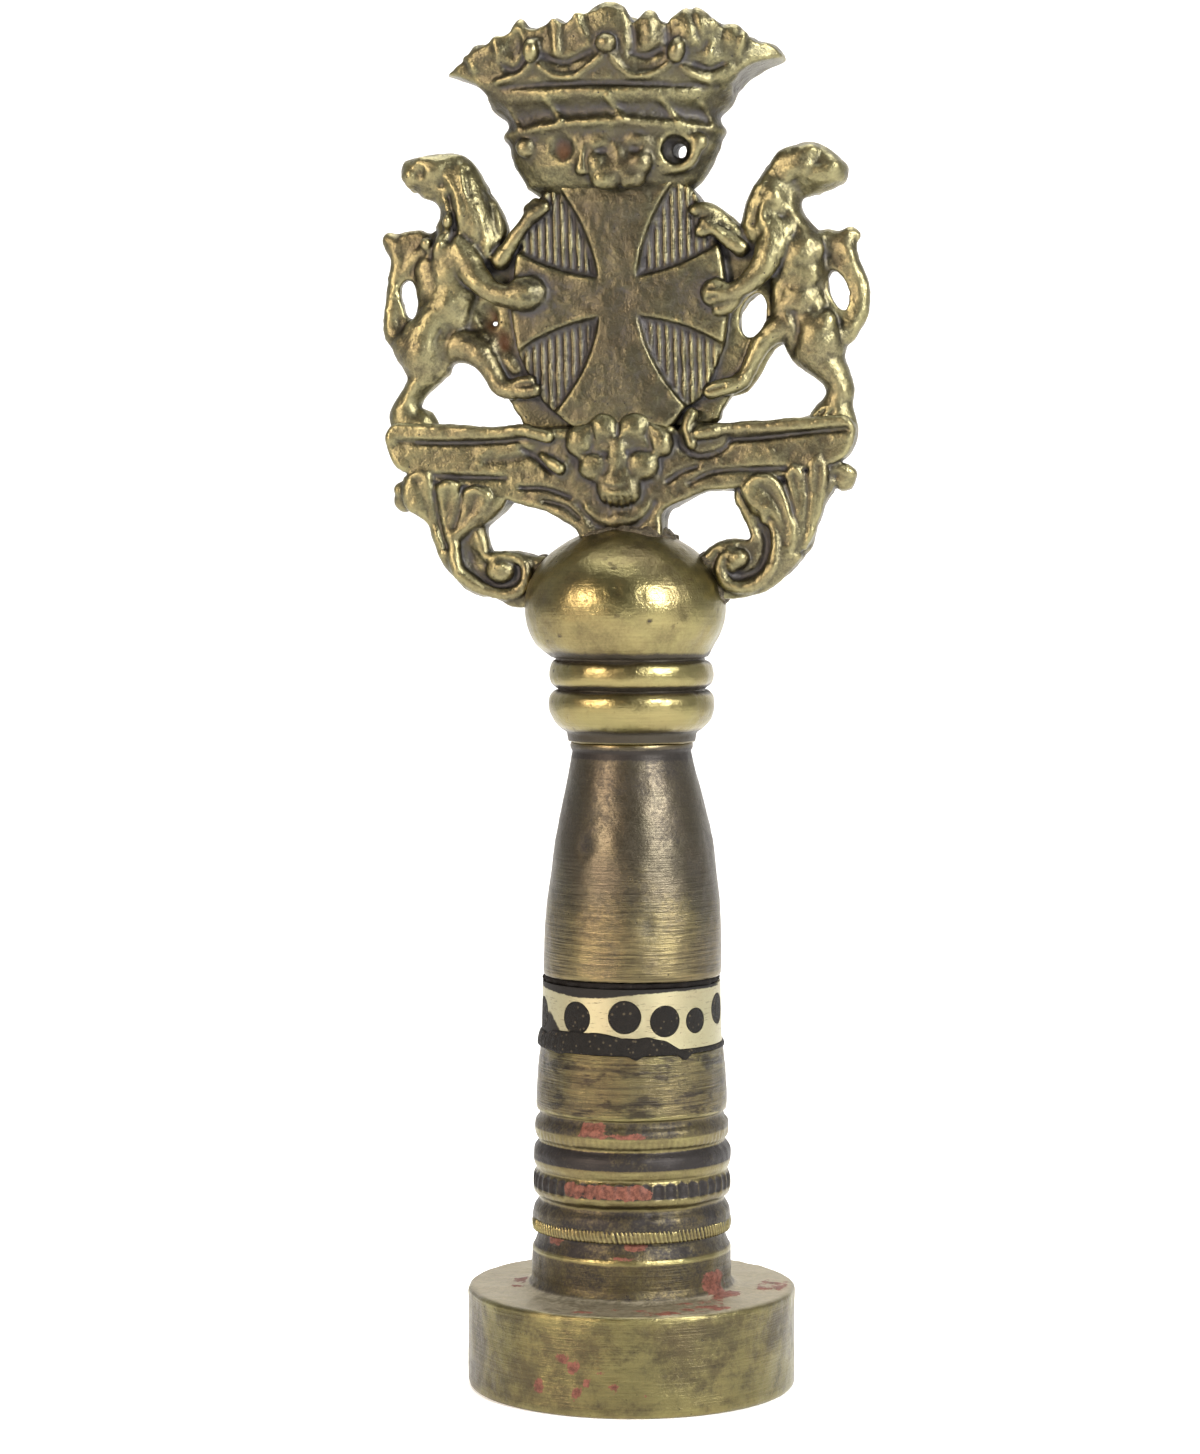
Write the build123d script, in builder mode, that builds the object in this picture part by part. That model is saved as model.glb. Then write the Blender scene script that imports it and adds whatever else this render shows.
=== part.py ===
import os
from math import asin, cos, degrees, radians, sin

from build123d import *

os.makedirs("parts", exist_ok=True)

# A desk wax seal: an engraved die on a ringed stem, and a turned handle with a cast crest that
# screws onto it. Sizes are in millimetres. The origin is the middle of the die's face, +Z runs
# up the handle and the crest faces -Y.

# Die and ringed stem, with heights above the disc
disc_radius = 11.0
disc_height = 6.7
disc_edge = 0.35
cove_radius = 0.7
foot_radius = 6.6
foot_height = 2.75
groove_radius = 6.2
ring_radius = 6.65
ring_width = 1.4
ring_heights = (4.85, 7.1, 8.85, 10.8)
barrel_start = 12.0
barrel_height = 4.3
barrel_lower_radius = 6.4
barrel_upper_radius = 6.13
lip_rise = 0.25

# Engraving in the die's face
engraving_depth = 0.5
petal_count = 6
petal_orbit = 4.3
petal_length = 4.6
petal_width = 2.2
border_radius = 9.0
border_width = 0.6
seed_radius = 0.45
seed_orbit = 7.6

# Collar, its dots and its bed of pitch
spigot_radius = 4.2
spigot_short = 0.3
pitch_thickness = 0.3
pitch_inset = 0.05
collar_height = 4.0
collar_lower_radius = 6.07
collar_upper_radius = 5.97
slip_clearance = 0.05
dot_depth = 0.6

# Dots of the collar as (bearing from the front in degrees, lift from mid height, radius)
collar_dot_places = (
    (-67, 0.0, 1.05),
    (-27, 0.0, 1.1),
    (6, 0.2, 1.1),
    (32, -0.1, 1.05),
    (55, -0.2, 0.85),
    (82, 0.3, 1.05),
    (111, 0.1, 1.1),
    (144, -0.1, 1.05),
    (173, 0.2, 1.0),
    (203, 0.0, 1.1),
    (233, -0.2, 1.05),
    (261, 0.1, 1.0),
)

# Washer, stud and thread
washer_thickness = 0.4
washer_inset = 0.2
washer_clearance = 0.2
thread_radius = 3.0
thread_depth = 0.55
thread_pitch = 1.0
thread_base = 0.8
thread_crest = 0.2
thread_reach = 6.3
thread_clearance = 0.08
thread_sink = 0.15
tapped_turns_below = 1
tapped_turns_above = 0.25
shank_radius = 2.4
shank_length = 9.0
shank_clearance = 0.02
bore_spare = 0.7

# Baluster, with the heights of its belly and waist above its foot
baluster_height = 15.6
baluster_foot_radius = 5.97
baluster_belly_radius = 5.55
baluster_belly_height = 6.3
baluster_waist_radius = 4.75
baluster_waist_height = 11.0
baluster_neck_radius = 4.0
baluster_lip_radius = 4.1
baluster_lip_height = 0.6
tenon_radius = 2.5
tenon_length = 4.0

# Knop: two mouldings and an oblate ball
moulding_foot_radius = 4.4
moulding_radius = 5.5
moulding_swell_height = 1.8
moulding_top_radius = 5.17
moulding_height = 3.3
moulding_groove = 0.3
fillet_ring_radius = 5.41
fillet_ring_height = 1.5
ball_seat_gap = 0.5
ball_radius = 6.75
ball_half_height = 5.3
ball_seat_depth = 3.4

# Crest casting: how it stands on the ball
crest_lean = 1.5
solder_thickness = 0.25
solder_clearance = 0.02
solder_spread = 0.5
solder_pad_radius = 1.1
tang_radius = 1.5
tang_length = 5.0
foot_half_width = 2.7
foot_sink = 1.0

# Ribbon, with its top above the ball and its grooves below its top
ribbon_half_width = 15.7
ribbon_top = 7.0
ribbon_height = 4.2
ribbon_end_radius = 1.4
ribbon_half_depth = 1.6
ribbon_groove_width = 0.35
ribbon_groove_depth = 0.3
ribbon_groove_drops = (1.0, 3.4)

# Shield and cross
shield_sink = 0.2
shield_height = 15.8
shield_half_width = 7.2
shield_top_half_width = 4.9
shield_bottom_half_width = 3.8
shield_half_depth = 1.25
cross_rise = 0.4
cross_arm = 1.25
cross_flare = 3.4
cross_hollow = 0.45

# Crown, with heights above the shield's top
rim_thickness = 0.6
crown_rims = ((3.9, 7.65, 3.6), (5.8, 8.15, 3.95))
pearl_radius = 0.8
crown_pearls = ((0.0, 4.7, 9.6), (4.9, 4.0, 9.3))
eyelet_radius = 0.9
eyelet_rim = 0.5
eyelet_half_depth = 3.0
eyelet_out = 4.1
eyelet_up = 2.5
upper_mask_front = 2.6
lower_mask_front = 1.4
ear_radius = 0.9
ear_out = 2.9
ear_front = 2.0
ear_drop = 0.9

# Leaves of the crown as (out from the axis, forward, up, radius, half height)
crown_leaves = (
    (0.0, 2.9, 9.8, 1.95, 2.4),
    (4.4, 2.5, 9.4, 1.95, 2.3),
    (7.6, 1.4, 8.8, 1.65, 2.0),
)

# Stacked sections as (out from the axis, up, half width, half depth): those of the crown and of
# the upper mask stand above the shield's top, those of the lower mask above the ribbon's top
crown_body = (
    (0, -0.6, 5.3, 2.4),
    (0, 2.3, 6.9, 3.0),
    (0, 4.0, 7.3, 3.3),
    (0, 6.0, 7.8, 3.6),
    (0, 7.4, 8.9, 4.1),
    (0, 9.0, 9.2, 4.2),
)
crown_tip = ((7.5, 8.4, 1.7, 1.7), (9.8, 8.4, 1.3, 1.3), (11.4, 7.9, 0.35, 0.5))
upper_mask = (
    (0, 3.7, 0.9, 0.5),
    (0, 2.8, 2.1, 1.0),
    (0, 1.7, 2.2, 1.2),
    (0, 0.7, 1.7, 1.1),
    (0, 0.2, 0.8, 0.5),
)
lower_mask = (
    (0, 0.6, 0.9, 0.8),
    (0, -0.4, 2.2, 1.5),
    (0, -2.0, 2.4, 1.7),
    (0, -3.8, 1.5, 1.6),
    (0, -4.8, 1.2, 1.4),
    (0, -5.4, 0.6, 0.6),
)

# Limbs of a lion as (out from the shield's side, up from the ribbon, radius, half depth)
lion_spine = (
    (7.8, 16.2, 0.7, 0.7),
    (6.7, 16.4, 1.4, 1.1),
    (5.4, 16.9, 1.65, 1.4),
    (4.1, 16.5, 1.6, 1.5),
    (3.0, 14.7, 1.9, 1.7),
    (3.0, 12.4, 2.2, 1.9),
    (3.8, 10.4, 2.0, 1.8),
    (4.8, 8.2, 1.6, 1.5),
    (5.8, 6.0, 1.75, 1.6),
    (6.2, 4.7, 1.2, 1.1),
)
lion_near_foreleg = (
    (3.0, 10.8, 0.95, 1.3),
    (2.0, 9.8, 0.9, 1.5),
    (1.0, 8.8, 0.75, 1.6),
    (-0.2, 8.6, 0.75, 1.8),
    (-1.3, 8.6, 1.0, 2.1),
)
lion_far_foreleg = (
    (1.8, 11.6, 0.8, 1.2),
    (0.5, 12.2, 0.75, 1.4),
    (-0.7, 13.3, 0.7, 1.6),
    (-1.8, 14.5, 0.75, 1.8),
)
lion_near_hind_leg = (
    (6.1, 5.4, 1.7, 1.5),
    (6.1, 3.7, 1.15, 1.1),
    (7.3, 2.3, 0.75, 0.8),
    (7.5, 1.2, 0.65, 0.8),
    (6.8, 0.2, 0.7, 0.9),
    (5.7, -0.1, 0.5, 0.8),
)
lion_far_hind_leg = (
    (4.4, 6.0, 1.15, 1.1),
    (2.7, 5.2, 0.8, 0.9),
    (1.5, 3.6, 0.65, 0.9),
    (0.4, 2.6, 0.6, 1.2),
    (-0.8, 2.3, 0.75, 1.7),
)
lion_tail = (
    (7.0, 5.6, 0.7, 0.7),
    (8.3, 6.4, 0.65, 0.6),
    (8.75, 8.4, 0.6, 0.55),
    (8.4, 10.4, 0.6, 0.55),
    (7.8, 11.7, 0.6, 0.55),
    (8.4, 12.5, 0.55, 0.5),
)
lion_tail_web = (
    (5.6, 11.8, 0.6, 0.5),
    (6.8, 11.9, 0.5, 0.45),
    (7.9, 11.8, 0.5, 0.45),
)

# Limbs of a leaf scroll as (out from the axis, up from the top of the ball, radius, half depth)
scroll_stalk = (
    (13.3, 2.8, 1.0, 1.1),
    (12.8, 0.8, 1.25, 1.2),
    (11.9, -1.2, 1.2, 1.2),
    (10.6, -2.8, 1.0, 1.1),
    (9.0, -3.9, 0.75, 1.0),
    (7.4, -4.5, 0.55, 0.9),
    (6.2, -4.4, 0.5, 0.8),
)
scroll_knob = ((13.2, 2.9, 0.6, 0.7), (14.3, 2.8, 0.6, 0.7), (15.1, 2.7, 0.7, 0.8))
scroll_leaf = ((11.6, 0.2, 1.0, 1.0), (10.2, 1.6, 1.2, 1.1), (8.9, 2.7, 0.6, 0.7))
scroll_leaf_tip = ((12.2, 1.6, 0.8, 0.9), (11.3, 3.6, 0.55, 0.7))
stalk_root_radius = 0.8
stalk_root_half_depth = 1.0
volute_out = 7.9
volute_drop = 2.4
volute_radius = 1.35
volute_thickness = 0.5
volute_eye_radius = 0.9

# Heights that follow from the sizes above
barrel_base_z = disc_height + barrel_start
barrel_top_z = barrel_base_z + barrel_height
collar_base_z = barrel_top_z + pitch_thickness
collar_top_z = collar_base_z + collar_height
spigot_top_z = collar_top_z - spigot_short
baluster_base_z = collar_top_z + washer_thickness
baluster_top_z = baluster_base_z + baluster_height
stud_top_z = baluster_base_z + thread_reach
moulding_top_z = baluster_top_z + moulding_height
fillet_ring_z = moulding_top_z + moulding_groove
fillet_ring_top_z = fillet_ring_z + fillet_ring_height
ball_z = fillet_ring_top_z + ball_seat_gap + ball_seat_depth
ball_top_z = ball_z + ball_half_height
ribbon_z = ball_top_z + ribbon_top
shield_base_z = ribbon_z - shield_sink
shield_top_z = shield_base_z + shield_height
shield_middle_z = shield_base_z + shield_height / 2
crest_stand = Location((0, 0, ball_z), (0, -crest_lean, 0))


def ball_profile(grow, start_angle):
    return EllipticalCenterArc(
        (0, ball_z),
        ball_radius + grow,
        ball_half_height + grow,
        start_angle,
        arc_size=90 - start_angle,
    )


def ball_solid(grow, mode):
    with BuildSketch(Plane.YZ) as half:
        with BuildLine():
            side = ball_profile(grow, -90)
            Line(side @ 1, side @ 0)
        make_face()
    revolve(half.sketch, axis=Axis.Z, mode=mode)


def limb(knots, out, up, front=0, ruled=False):
    places = [Vector(out + x, -front, up + z) for x, z, _, _ in knots]
    sections = []
    for i, (_, _, radius, half_depth) in enumerate(knots):
        ahead = places[min(i + 1, len(places) - 1)] - places[max(i - 1, 0)]
        with BuildSketch(Plane(places[i], x_dir=(0, 1, 0), z_dir=ahead)) as section:
            Ellipse(half_depth, radius)
        sections.append(section.sketch)
    loft(sections, ruled=ruled)


def upright_spheroid(place, radius, half_height):
    with BuildSketch(Plane(place, x_dir=(1, 0, 0), z_dir=(0, -1, 0))) as half:
        with BuildLine():
            side = EllipticalCenterArc((0, 0), radius, half_height, -90, arc_size=180)
            Line(side @ 1, side @ 0)
        make_face()
    revolve(half.sketch, axis=Axis(place, (0, 0, 1)))


def thread_ridge(clearance, turns_below, turns_above, mode):
    root = thread_radius - thread_depth + clearance
    sunk = root - thread_sink
    base_half = thread_base / 2 + clearance
    crest_half = thread_crest / 2 + clearance
    start_z = spigot_top_z + thread_base - turns_below * thread_pitch
    end_z = stud_top_z - thread_base + turns_above * thread_pitch
    with BuildLine() as path:
        Helix(thread_pitch, end_z - start_z, root, center=(0, 0, start_z))
    with BuildSketch(Plane.XZ) as ridge:
        with BuildLine():
            Polyline(
                (sunk, start_z - base_half),
                (root + thread_depth, start_z - crest_half),
                (root + thread_depth, start_z + crest_half),
                (sunk, start_z + base_half),
                close=True,
            )
        make_face()
    sweep(ridge.sketch, path=path.wires()[0], is_frenet=True, mode=mode)


# Die and stem: one turned piece, engraved below, bored above for the stud
with BuildPart() as die_stem:
    with BuildSketch(Plane.XZ):
        with BuildLine():
            Polyline(
                (0, spigot_top_z),
                (0, 0),
                (disc_radius - disc_edge, 0),
                (disc_radius, disc_edge),
                (disc_radius, disc_height - disc_edge),
                (disc_radius - disc_edge, disc_height),
                (foot_radius + cove_radius, disc_height),
            )
            cove = RadiusArc(
                (foot_radius + cove_radius, disc_height),
                (foot_radius, disc_height + cove_radius),
                cove_radius,
            )
            last = (groove_radius, disc_height + foot_height)
            Polyline(cove @ 1, (foot_radius, disc_height + foot_height - lip_rise), last)
            for height in ring_heights:
                middle = disc_height + height
                low = (groove_radius, middle - ring_width / 2)
                high = (groove_radius, middle + ring_width / 2)
                Line(last, low)
                ThreePointArc(low, (ring_radius, middle), high)
                last = high
            Polyline(
                last,
                (groove_radius, barrel_base_z - lip_rise),
                (barrel_lower_radius, barrel_base_z),
                (barrel_upper_radius, barrel_top_z),
                (spigot_radius, barrel_top_z),
                (spigot_radius, spigot_top_z),
                (0, spigot_top_z),
            )
        make_face()
    revolve(axis=Axis.Z)
    with Locations((0, 0, spigot_top_z)):
        Hole(shank_radius + shank_clearance, depth=shank_length + shank_clearance)
    with BuildSketch(Plane.XY):
        Circle(border_radius + border_width / 2)
        Circle(border_radius - border_width / 2, mode=Mode.SUBTRACT)
        with PolarLocations(petal_orbit, petal_count):
            Ellipse(petal_length / 2, petal_width / 2)
        with PolarLocations(seed_orbit, petal_count, start_angle=180 / petal_count):
            Circle(seed_radius)
    extrude(amount=engraving_depth, mode=Mode.SUBTRACT)

# Stud: a plain shank in the stem and a thread that stands out of it
with BuildPart() as stud:
    with Locations((0, 0, spigot_top_z)):
        Cylinder(
            shank_radius, shank_length, align=(Align.CENTER, Align.CENTER, Align.MAX)
        )
        Cylinder(
            thread_radius - thread_depth,
            stud_top_z - spigot_top_z,
            align=(Align.CENTER, Align.CENTER, Align.MIN),
        )
    thread_ridge(0, 0, 0, Mode.ADD)

# Pitch bed: a thin ring between the stem and the collar
with BuildPart() as pitch_bed:
    with BuildSketch(Plane.XY.offset(barrel_top_z)):
        Circle(barrel_upper_radius - pitch_inset)
        Circle(spigot_radius + slip_clearance, mode=Mode.SUBTRACT)
    extrude(amount=pitch_thickness)

# Places of the collar's dots: planes on the floors of their holes, facing out
dot_floor = collar_upper_radius - dot_depth
dots = []
for bearing, lift, radius in collar_dot_places:
    facing = (sin(radians(bearing)), -cos(radians(bearing)), 0)
    middle = (0, 0, collar_base_z + collar_height / 2 + lift)
    dots.append((Plane(middle, x_dir=(0, 0, 1), z_dir=facing).offset(dot_floor), radius))


def collar_section(inner_radius):
    with BuildSketch(Plane.XZ) as section:
        with BuildLine():
            Polyline(
                (inner_radius, collar_base_z),
                (collar_lower_radius, collar_base_z),
                (collar_upper_radius, collar_top_z),
                (inner_radius, collar_top_z),
                close=True,
            )
        make_face()
    return section.sketch


# Collar: a slightly tapered ring with drilled dots
with BuildPart() as collar:
    revolve(collar_section(spigot_radius + slip_clearance), axis=Axis.Z)
    for place, radius in dots:
        with BuildSketch(place):
            Circle(radius)
        extrude(amount=2 * dot_depth, mode=Mode.SUBTRACT)

# Dots: plugs of pitch, level with the collar
with BuildPart() as dot_pins:
    for place, radius in dots:
        with BuildSketch(place):
            Circle(radius - slip_clearance)
        extrude(amount=2 * dot_depth)

with BuildPart() as collar_dots:
    revolve(collar_section(dot_floor + slip_clearance), axis=Axis.Z)
    add(dot_pins.part, mode=Mode.INTERSECT)

# Washer in the open seam
with BuildPart() as seam_washer:
    with BuildSketch(Plane.XY.offset(collar_top_z)):
        Circle(collar_upper_radius - washer_inset)
        Circle(thread_radius + washer_clearance, mode=Mode.SUBTRACT)
    extrude(amount=washer_thickness)

# Baluster: the tapered handle, tapped below, with a tenon above
with BuildPart() as baluster:
    neck_z = baluster_top_z - baluster_lip_height
    with BuildSketch(Plane.XZ):
        with BuildLine():
            Polyline(
                (0, baluster_top_z + tenon_length),
                (0, baluster_base_z),
                (baluster_foot_radius, baluster_base_z),
            )
            Spline(
                (baluster_foot_radius, baluster_base_z),
                (baluster_belly_radius, baluster_base_z + baluster_belly_height),
                (baluster_waist_radius, baluster_base_z + baluster_waist_height),
                (baluster_neck_radius, neck_z),
                tangents=((0, 1), (0, 1)),
            )
            Polyline(
                (baluster_neck_radius, neck_z),
                (baluster_lip_radius, baluster_top_z),
                (tenon_radius, baluster_top_z),
                (tenon_radius, baluster_top_z + tenon_length),
                (0, baluster_top_z + tenon_length),
            )
        make_face()
    revolve(axis=Axis.Z)
    with Locations(Location((0, 0, baluster_base_z), (180, 0, 0))):
        Hole(
            thread_radius - thread_depth + thread_clearance,
            depth=thread_reach + bore_spare,
        )
    thread_ridge(thread_clearance, tapped_turns_below, tapped_turns_above, Mode.SUBTRACT)

# Knop: mouldings and ball, bored for the tenon and for the crest's tang
with BuildPart() as knop:
    with BuildSketch(Plane.XZ):
        with BuildLine():
            Line((0, baluster_top_z), (moulding_foot_radius, baluster_top_z))
            ThreePointArc(
                (moulding_foot_radius, baluster_top_z),
                (moulding_radius, baluster_top_z + moulding_swell_height),
                (moulding_top_radius, moulding_top_z),
            )
            Line((moulding_top_radius, moulding_top_z), (moulding_top_radius, fillet_ring_z))
            ThreePointArc(
                (moulding_top_radius, fillet_ring_z),
                (fillet_ring_radius, fillet_ring_z + fillet_ring_height / 2),
                (moulding_top_radius, fillet_ring_top_z),
            )
            side = ball_profile(0, -degrees(asin(ball_seat_depth / ball_half_height)))
            Line((moulding_top_radius, fillet_ring_top_z), side @ 0)
            Line(side @ 1, (0, baluster_top_z))
        make_face()
    revolve(axis=Axis.Z)
    with Locations(Location((0, 0, baluster_top_z), (180, 0, 0))):
        Hole(tenon_radius + slip_clearance, depth=tenon_length + slip_clearance)
    with Locations(crest_stand * Pos(0, 0, ball_half_height)):
        Hole(tang_radius + slip_clearance, depth=tang_length + slip_clearance)

# One lion, to the right of the shield
with BuildPart() as lion:
    for knots in (
        lion_spine,
        lion_near_foreleg,
        lion_far_foreleg,
        lion_near_hind_leg,
        lion_far_hind_leg,
        lion_tail,
        lion_tail_web,
    ):
        limb(knots, shield_half_width, ribbon_z)

# One leaf scroll, hanging from the ribbon's right end
with BuildPart() as scroll:
    stalk_root = (
        ribbon_half_width - ribbon_end_radius,
        ribbon_top - ribbon_end_radius,
        stalk_root_radius,
        stalk_root_half_depth,
    )
    for knots in ((stalk_root, *scroll_stalk), scroll_knob, scroll_leaf, scroll_leaf_tip):
        limb(knots, 0, ball_top_z)
    with Locations(Location((volute_out, 0, ball_top_z - volute_drop), (90, 0, 0))):
        Torus(volute_radius, volute_thickness)
        Sphere(volute_eye_radius)

# Crest casting, built upright
with BuildPart() as casting:
    with BuildSketch(Plane.XZ) as shield:
        with BuildLine():
            Line((0, shield_top_z), (shield_top_half_width, shield_top_z))
            Spline(
                (shield_top_half_width, shield_top_z),
                (shield_half_width, shield_middle_z),
                (shield_bottom_half_width, shield_base_z),
            )
            Line((shield_bottom_half_width, shield_base_z), (0, shield_base_z))
            mirror(about=Plane.YZ)
        make_face()
    extrude(amount=shield_half_depth, both=True)

    # Cross with hollow-sided arms, clipped by the shield
    with BuildSketch(Plane.XZ):
        with BuildLine():
            hollow = (cross_arm + cross_flare) / 2 - cross_hollow
            Line((0, shield_top_z), (cross_flare, shield_top_z))
            ThreePointArc(
                (cross_flare, shield_top_z),
                (hollow, (shield_top_z + shield_middle_z + cross_arm) / 2),
                (cross_arm, shield_middle_z + cross_arm),
            )
            ThreePointArc(
                (cross_arm, shield_middle_z + cross_arm),
                ((shield_half_width + cross_arm) / 2, shield_middle_z + hollow),
                (shield_half_width, shield_middle_z + cross_flare),
            )
            Line(
                (shield_half_width, shield_middle_z + cross_flare),
                (shield_half_width, shield_middle_z),
            )
            mirror(about=Plane.YZ)
            mirror(about=Plane.XZ.offset(-shield_middle_z))
        make_face()
        add(shield.sketch, mode=Mode.INTERSECT)
    extrude(amount=shield_half_depth + cross_rise, both=True)

    # Ribbon, running down into the foot
    end_in = ribbon_half_width - ribbon_end_radius
    with BuildSketch(Plane.XZ):
        with BuildLine():
            Line((0, ribbon_z), (end_in, ribbon_z))
            ThreePointArc(
                (end_in, ribbon_z),
                (ribbon_half_width, ribbon_z - ribbon_end_radius),
                (end_in, ribbon_z - 2 * ribbon_end_radius),
            )
            Spline(
                (end_in, ribbon_z - 2 * ribbon_end_radius),
                (ribbon_half_width / 2, ribbon_z - ribbon_height),
                (foot_half_width, ball_top_z),
            )
            Polyline(
                (foot_half_width, ball_top_z),
                (foot_half_width, ball_top_z - foot_sink),
                (0, ball_top_z - foot_sink),
            )
            mirror(about=Plane.YZ)
        make_face()
    extrude(amount=ribbon_half_depth, both=True)
    for side in (1, -1):
        with BuildSketch(Plane.XZ.offset(side * ribbon_half_depth)):
            for drop in ribbon_groove_drops:
                with Locations((0, ribbon_z - drop)):
                    Rectangle(2 * end_in, ribbon_groove_width)
        extrude(amount=-side * ribbon_groove_depth, mode=Mode.SUBTRACT)

    # Crown: flared body, two rims, leaves, pearls and side tips
    limb(crown_body, 0, shield_top_z, ruled=True)
    for up, half_width, half_depth in crown_rims:
        with BuildSketch(Plane.XY.offset(shield_top_z + up)):
            Ellipse(half_width, half_depth)
        extrude(amount=rim_thickness)
    for out, forward, up, radius, half_height in crown_leaves:
        for side in sorted({out, -out}):
            for front in (-forward, forward):
                upright_spheroid((side, front, shield_top_z + up), radius, half_height)
    for out, forward, up in crown_pearls:
        for side in sorted({out, -out}):
            with Locations(
                (side, -forward, shield_top_z + up), (side, forward, shield_top_z + up)
            ):
                Sphere(pearl_radius)
    limb(crown_tip, 0, shield_top_z)
    limb([(-x, *rest) for x, *rest in crown_tip], 0, shield_top_z)

    # Masks, front and back
    for side in (1, -1):
        limb(upper_mask, 0, shield_top_z, side * upper_mask_front)
        limb(lower_mask, 0, ribbon_z, side * lower_mask_front)
        with Locations(
            (ear_out, side * ear_front, ribbon_z - ear_drop),
            (-ear_out, side * ear_front, ribbon_z - ear_drop),
        ):
            Sphere(ear_radius)

    # Pierced eyelets beside the upper mask
    eyelet_places = (
        (eyelet_out, shield_top_z + eyelet_up),
        (-eyelet_out, shield_top_z + eyelet_up),
    )
    with BuildSketch(Plane.XZ):
        with Locations(*eyelet_places):
            Circle(eyelet_radius + eyelet_rim)
    extrude(amount=eyelet_half_depth, both=True)
    with BuildSketch(Plane.XZ):
        with Locations(*eyelet_places):
            Circle(eyelet_radius)
    extrude(amount=2 * eyelet_half_depth, both=True, mode=Mode.SUBTRACT)

    # Supporters and scrolls on both sides
    for piece in (lion, scroll):
        add(piece.part)
        mirror(piece.part, about=Plane.YZ)

# Crest: the casting leans a little on its tang and is fitted to the ball
with BuildPart() as crest:
    add(casting.part.rotate(Axis((0, 0, ball_z), (0, 1, 0)), -crest_lean))
    ball_solid(solder_thickness + solder_clearance, Mode.SUBTRACT)
    with Locations(crest_stand * Pos(0, 0, ball_half_height + ribbon_top - ribbon_height)):
        Cylinder(
            tang_radius,
            tang_length + ribbon_top - ribbon_height,
            align=(Align.CENTER, Align.CENTER, Align.MAX),
        )

# Solder: a skin on the ball under the crest's foot and the scroll ends
with BuildPart() as solder_pads:
    end_out, end_up, _, _ = scroll_stalk[-1]
    pad_up = ball_half_height + end_up
    with Locations(crest_stand * Pos(0, 0, ball_half_height)):
        Cylinder(foot_half_width + solder_spread, ball_half_height)
    for side in (end_out, -end_out):
        with Locations(crest_stand * Location((side, 0, pad_up), (0, 90, 0))):
            Cylinder(solder_pad_radius, 2 * solder_pad_radius)

with BuildPart() as solder_seam:
    ball_solid(solder_thickness, Mode.ADD)
    add(solder_pads.part, mode=Mode.INTERSECT)
    ball_solid(0, Mode.SUBTRACT)
    with Locations(crest_stand * Pos(0, 0, ball_half_height)):
        Cylinder(tang_radius + slip_clearance, ball_half_height, mode=Mode.SUBTRACT)

for piece, name in (
    (die_stem, "die_stem"),
    (stud, "stud"),
    (pitch_bed, "pitch_bed"),
    (collar, "collar"),
    (collar_dots, "collar_dots"),
    (seam_washer, "seam_washer"),
    (baluster, "baluster"),
    (knop, "knop"),
    (crest, "crest"),
    (solder_seam, "solder_seam"),
):
    piece.part.label = name
    export_step(piece.part, "parts/" + name + ".step")
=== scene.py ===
import math

import bpy
import numpy as np
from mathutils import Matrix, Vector


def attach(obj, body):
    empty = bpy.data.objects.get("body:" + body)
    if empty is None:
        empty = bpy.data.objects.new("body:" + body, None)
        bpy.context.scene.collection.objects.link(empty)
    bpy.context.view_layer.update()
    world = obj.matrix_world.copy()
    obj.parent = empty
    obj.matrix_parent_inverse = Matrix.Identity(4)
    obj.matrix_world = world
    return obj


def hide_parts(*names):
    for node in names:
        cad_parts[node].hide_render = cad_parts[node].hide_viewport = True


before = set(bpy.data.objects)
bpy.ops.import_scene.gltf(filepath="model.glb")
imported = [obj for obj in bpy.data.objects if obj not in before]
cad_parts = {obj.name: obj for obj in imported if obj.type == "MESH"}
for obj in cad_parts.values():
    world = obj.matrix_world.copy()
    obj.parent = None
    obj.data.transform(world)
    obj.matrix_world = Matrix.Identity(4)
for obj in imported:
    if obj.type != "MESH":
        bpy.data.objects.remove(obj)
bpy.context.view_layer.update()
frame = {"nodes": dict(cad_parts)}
mm = 0.001
print("frame: loaded", len(frame["nodes"]), "nodes")


# studio

studio = {
    "azimuth": 11.0,        # degrees to the right of the crest's front
    "distance": 245.0,      # mm from the handle's axis
    "eyeHeight": 57.0,      # mm
    "aimHeight": 44.27,
    "aimSide": -2.13,       # the seal stands a little right of the middle
    "lens": 90.74,
    "floorReach": 900.0,
    "wallDistance": 420.0,
    "wallBend": 200.0,
    "bendSteps": 16,
    "floorColour": (0.86, 0.86, 0.85, 1.0),
    "floorRough": 0.9,
    "floorGlow": 0.35,
    "lamps": [
        ("keyLamp", (235, -185, 175), 90.0, 1.7, (1.0, 0.98, 0.95)),
        ("warmLamp", (-205, -262, 140), 80.0, 1.1, (1.0, 0.81, 0.65)),
        ("topLamp", (0, 60, 380), 320.0, 1.6, (1, 1, 1)),
    ],    # name, place, size, power, colour
    "lampAim": (0, 0, 45),
    "skyTurn": (-0.55, 0.5),    # where the sky goes from its front strength to its back one
    "skyFront": 0.16,
    "skyBack": 1.0,
}


def aimed(thing, place, target):
    thing.location = Vector(place) * mm
    thing.rotation_mode = "QUATERNION"
    thing.rotation_quaternion = (Vector(target) * mm - thing.location).to_track_quat("-Z", "Y")
    bpy.context.scene.collection.objects.link(thing)


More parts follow.
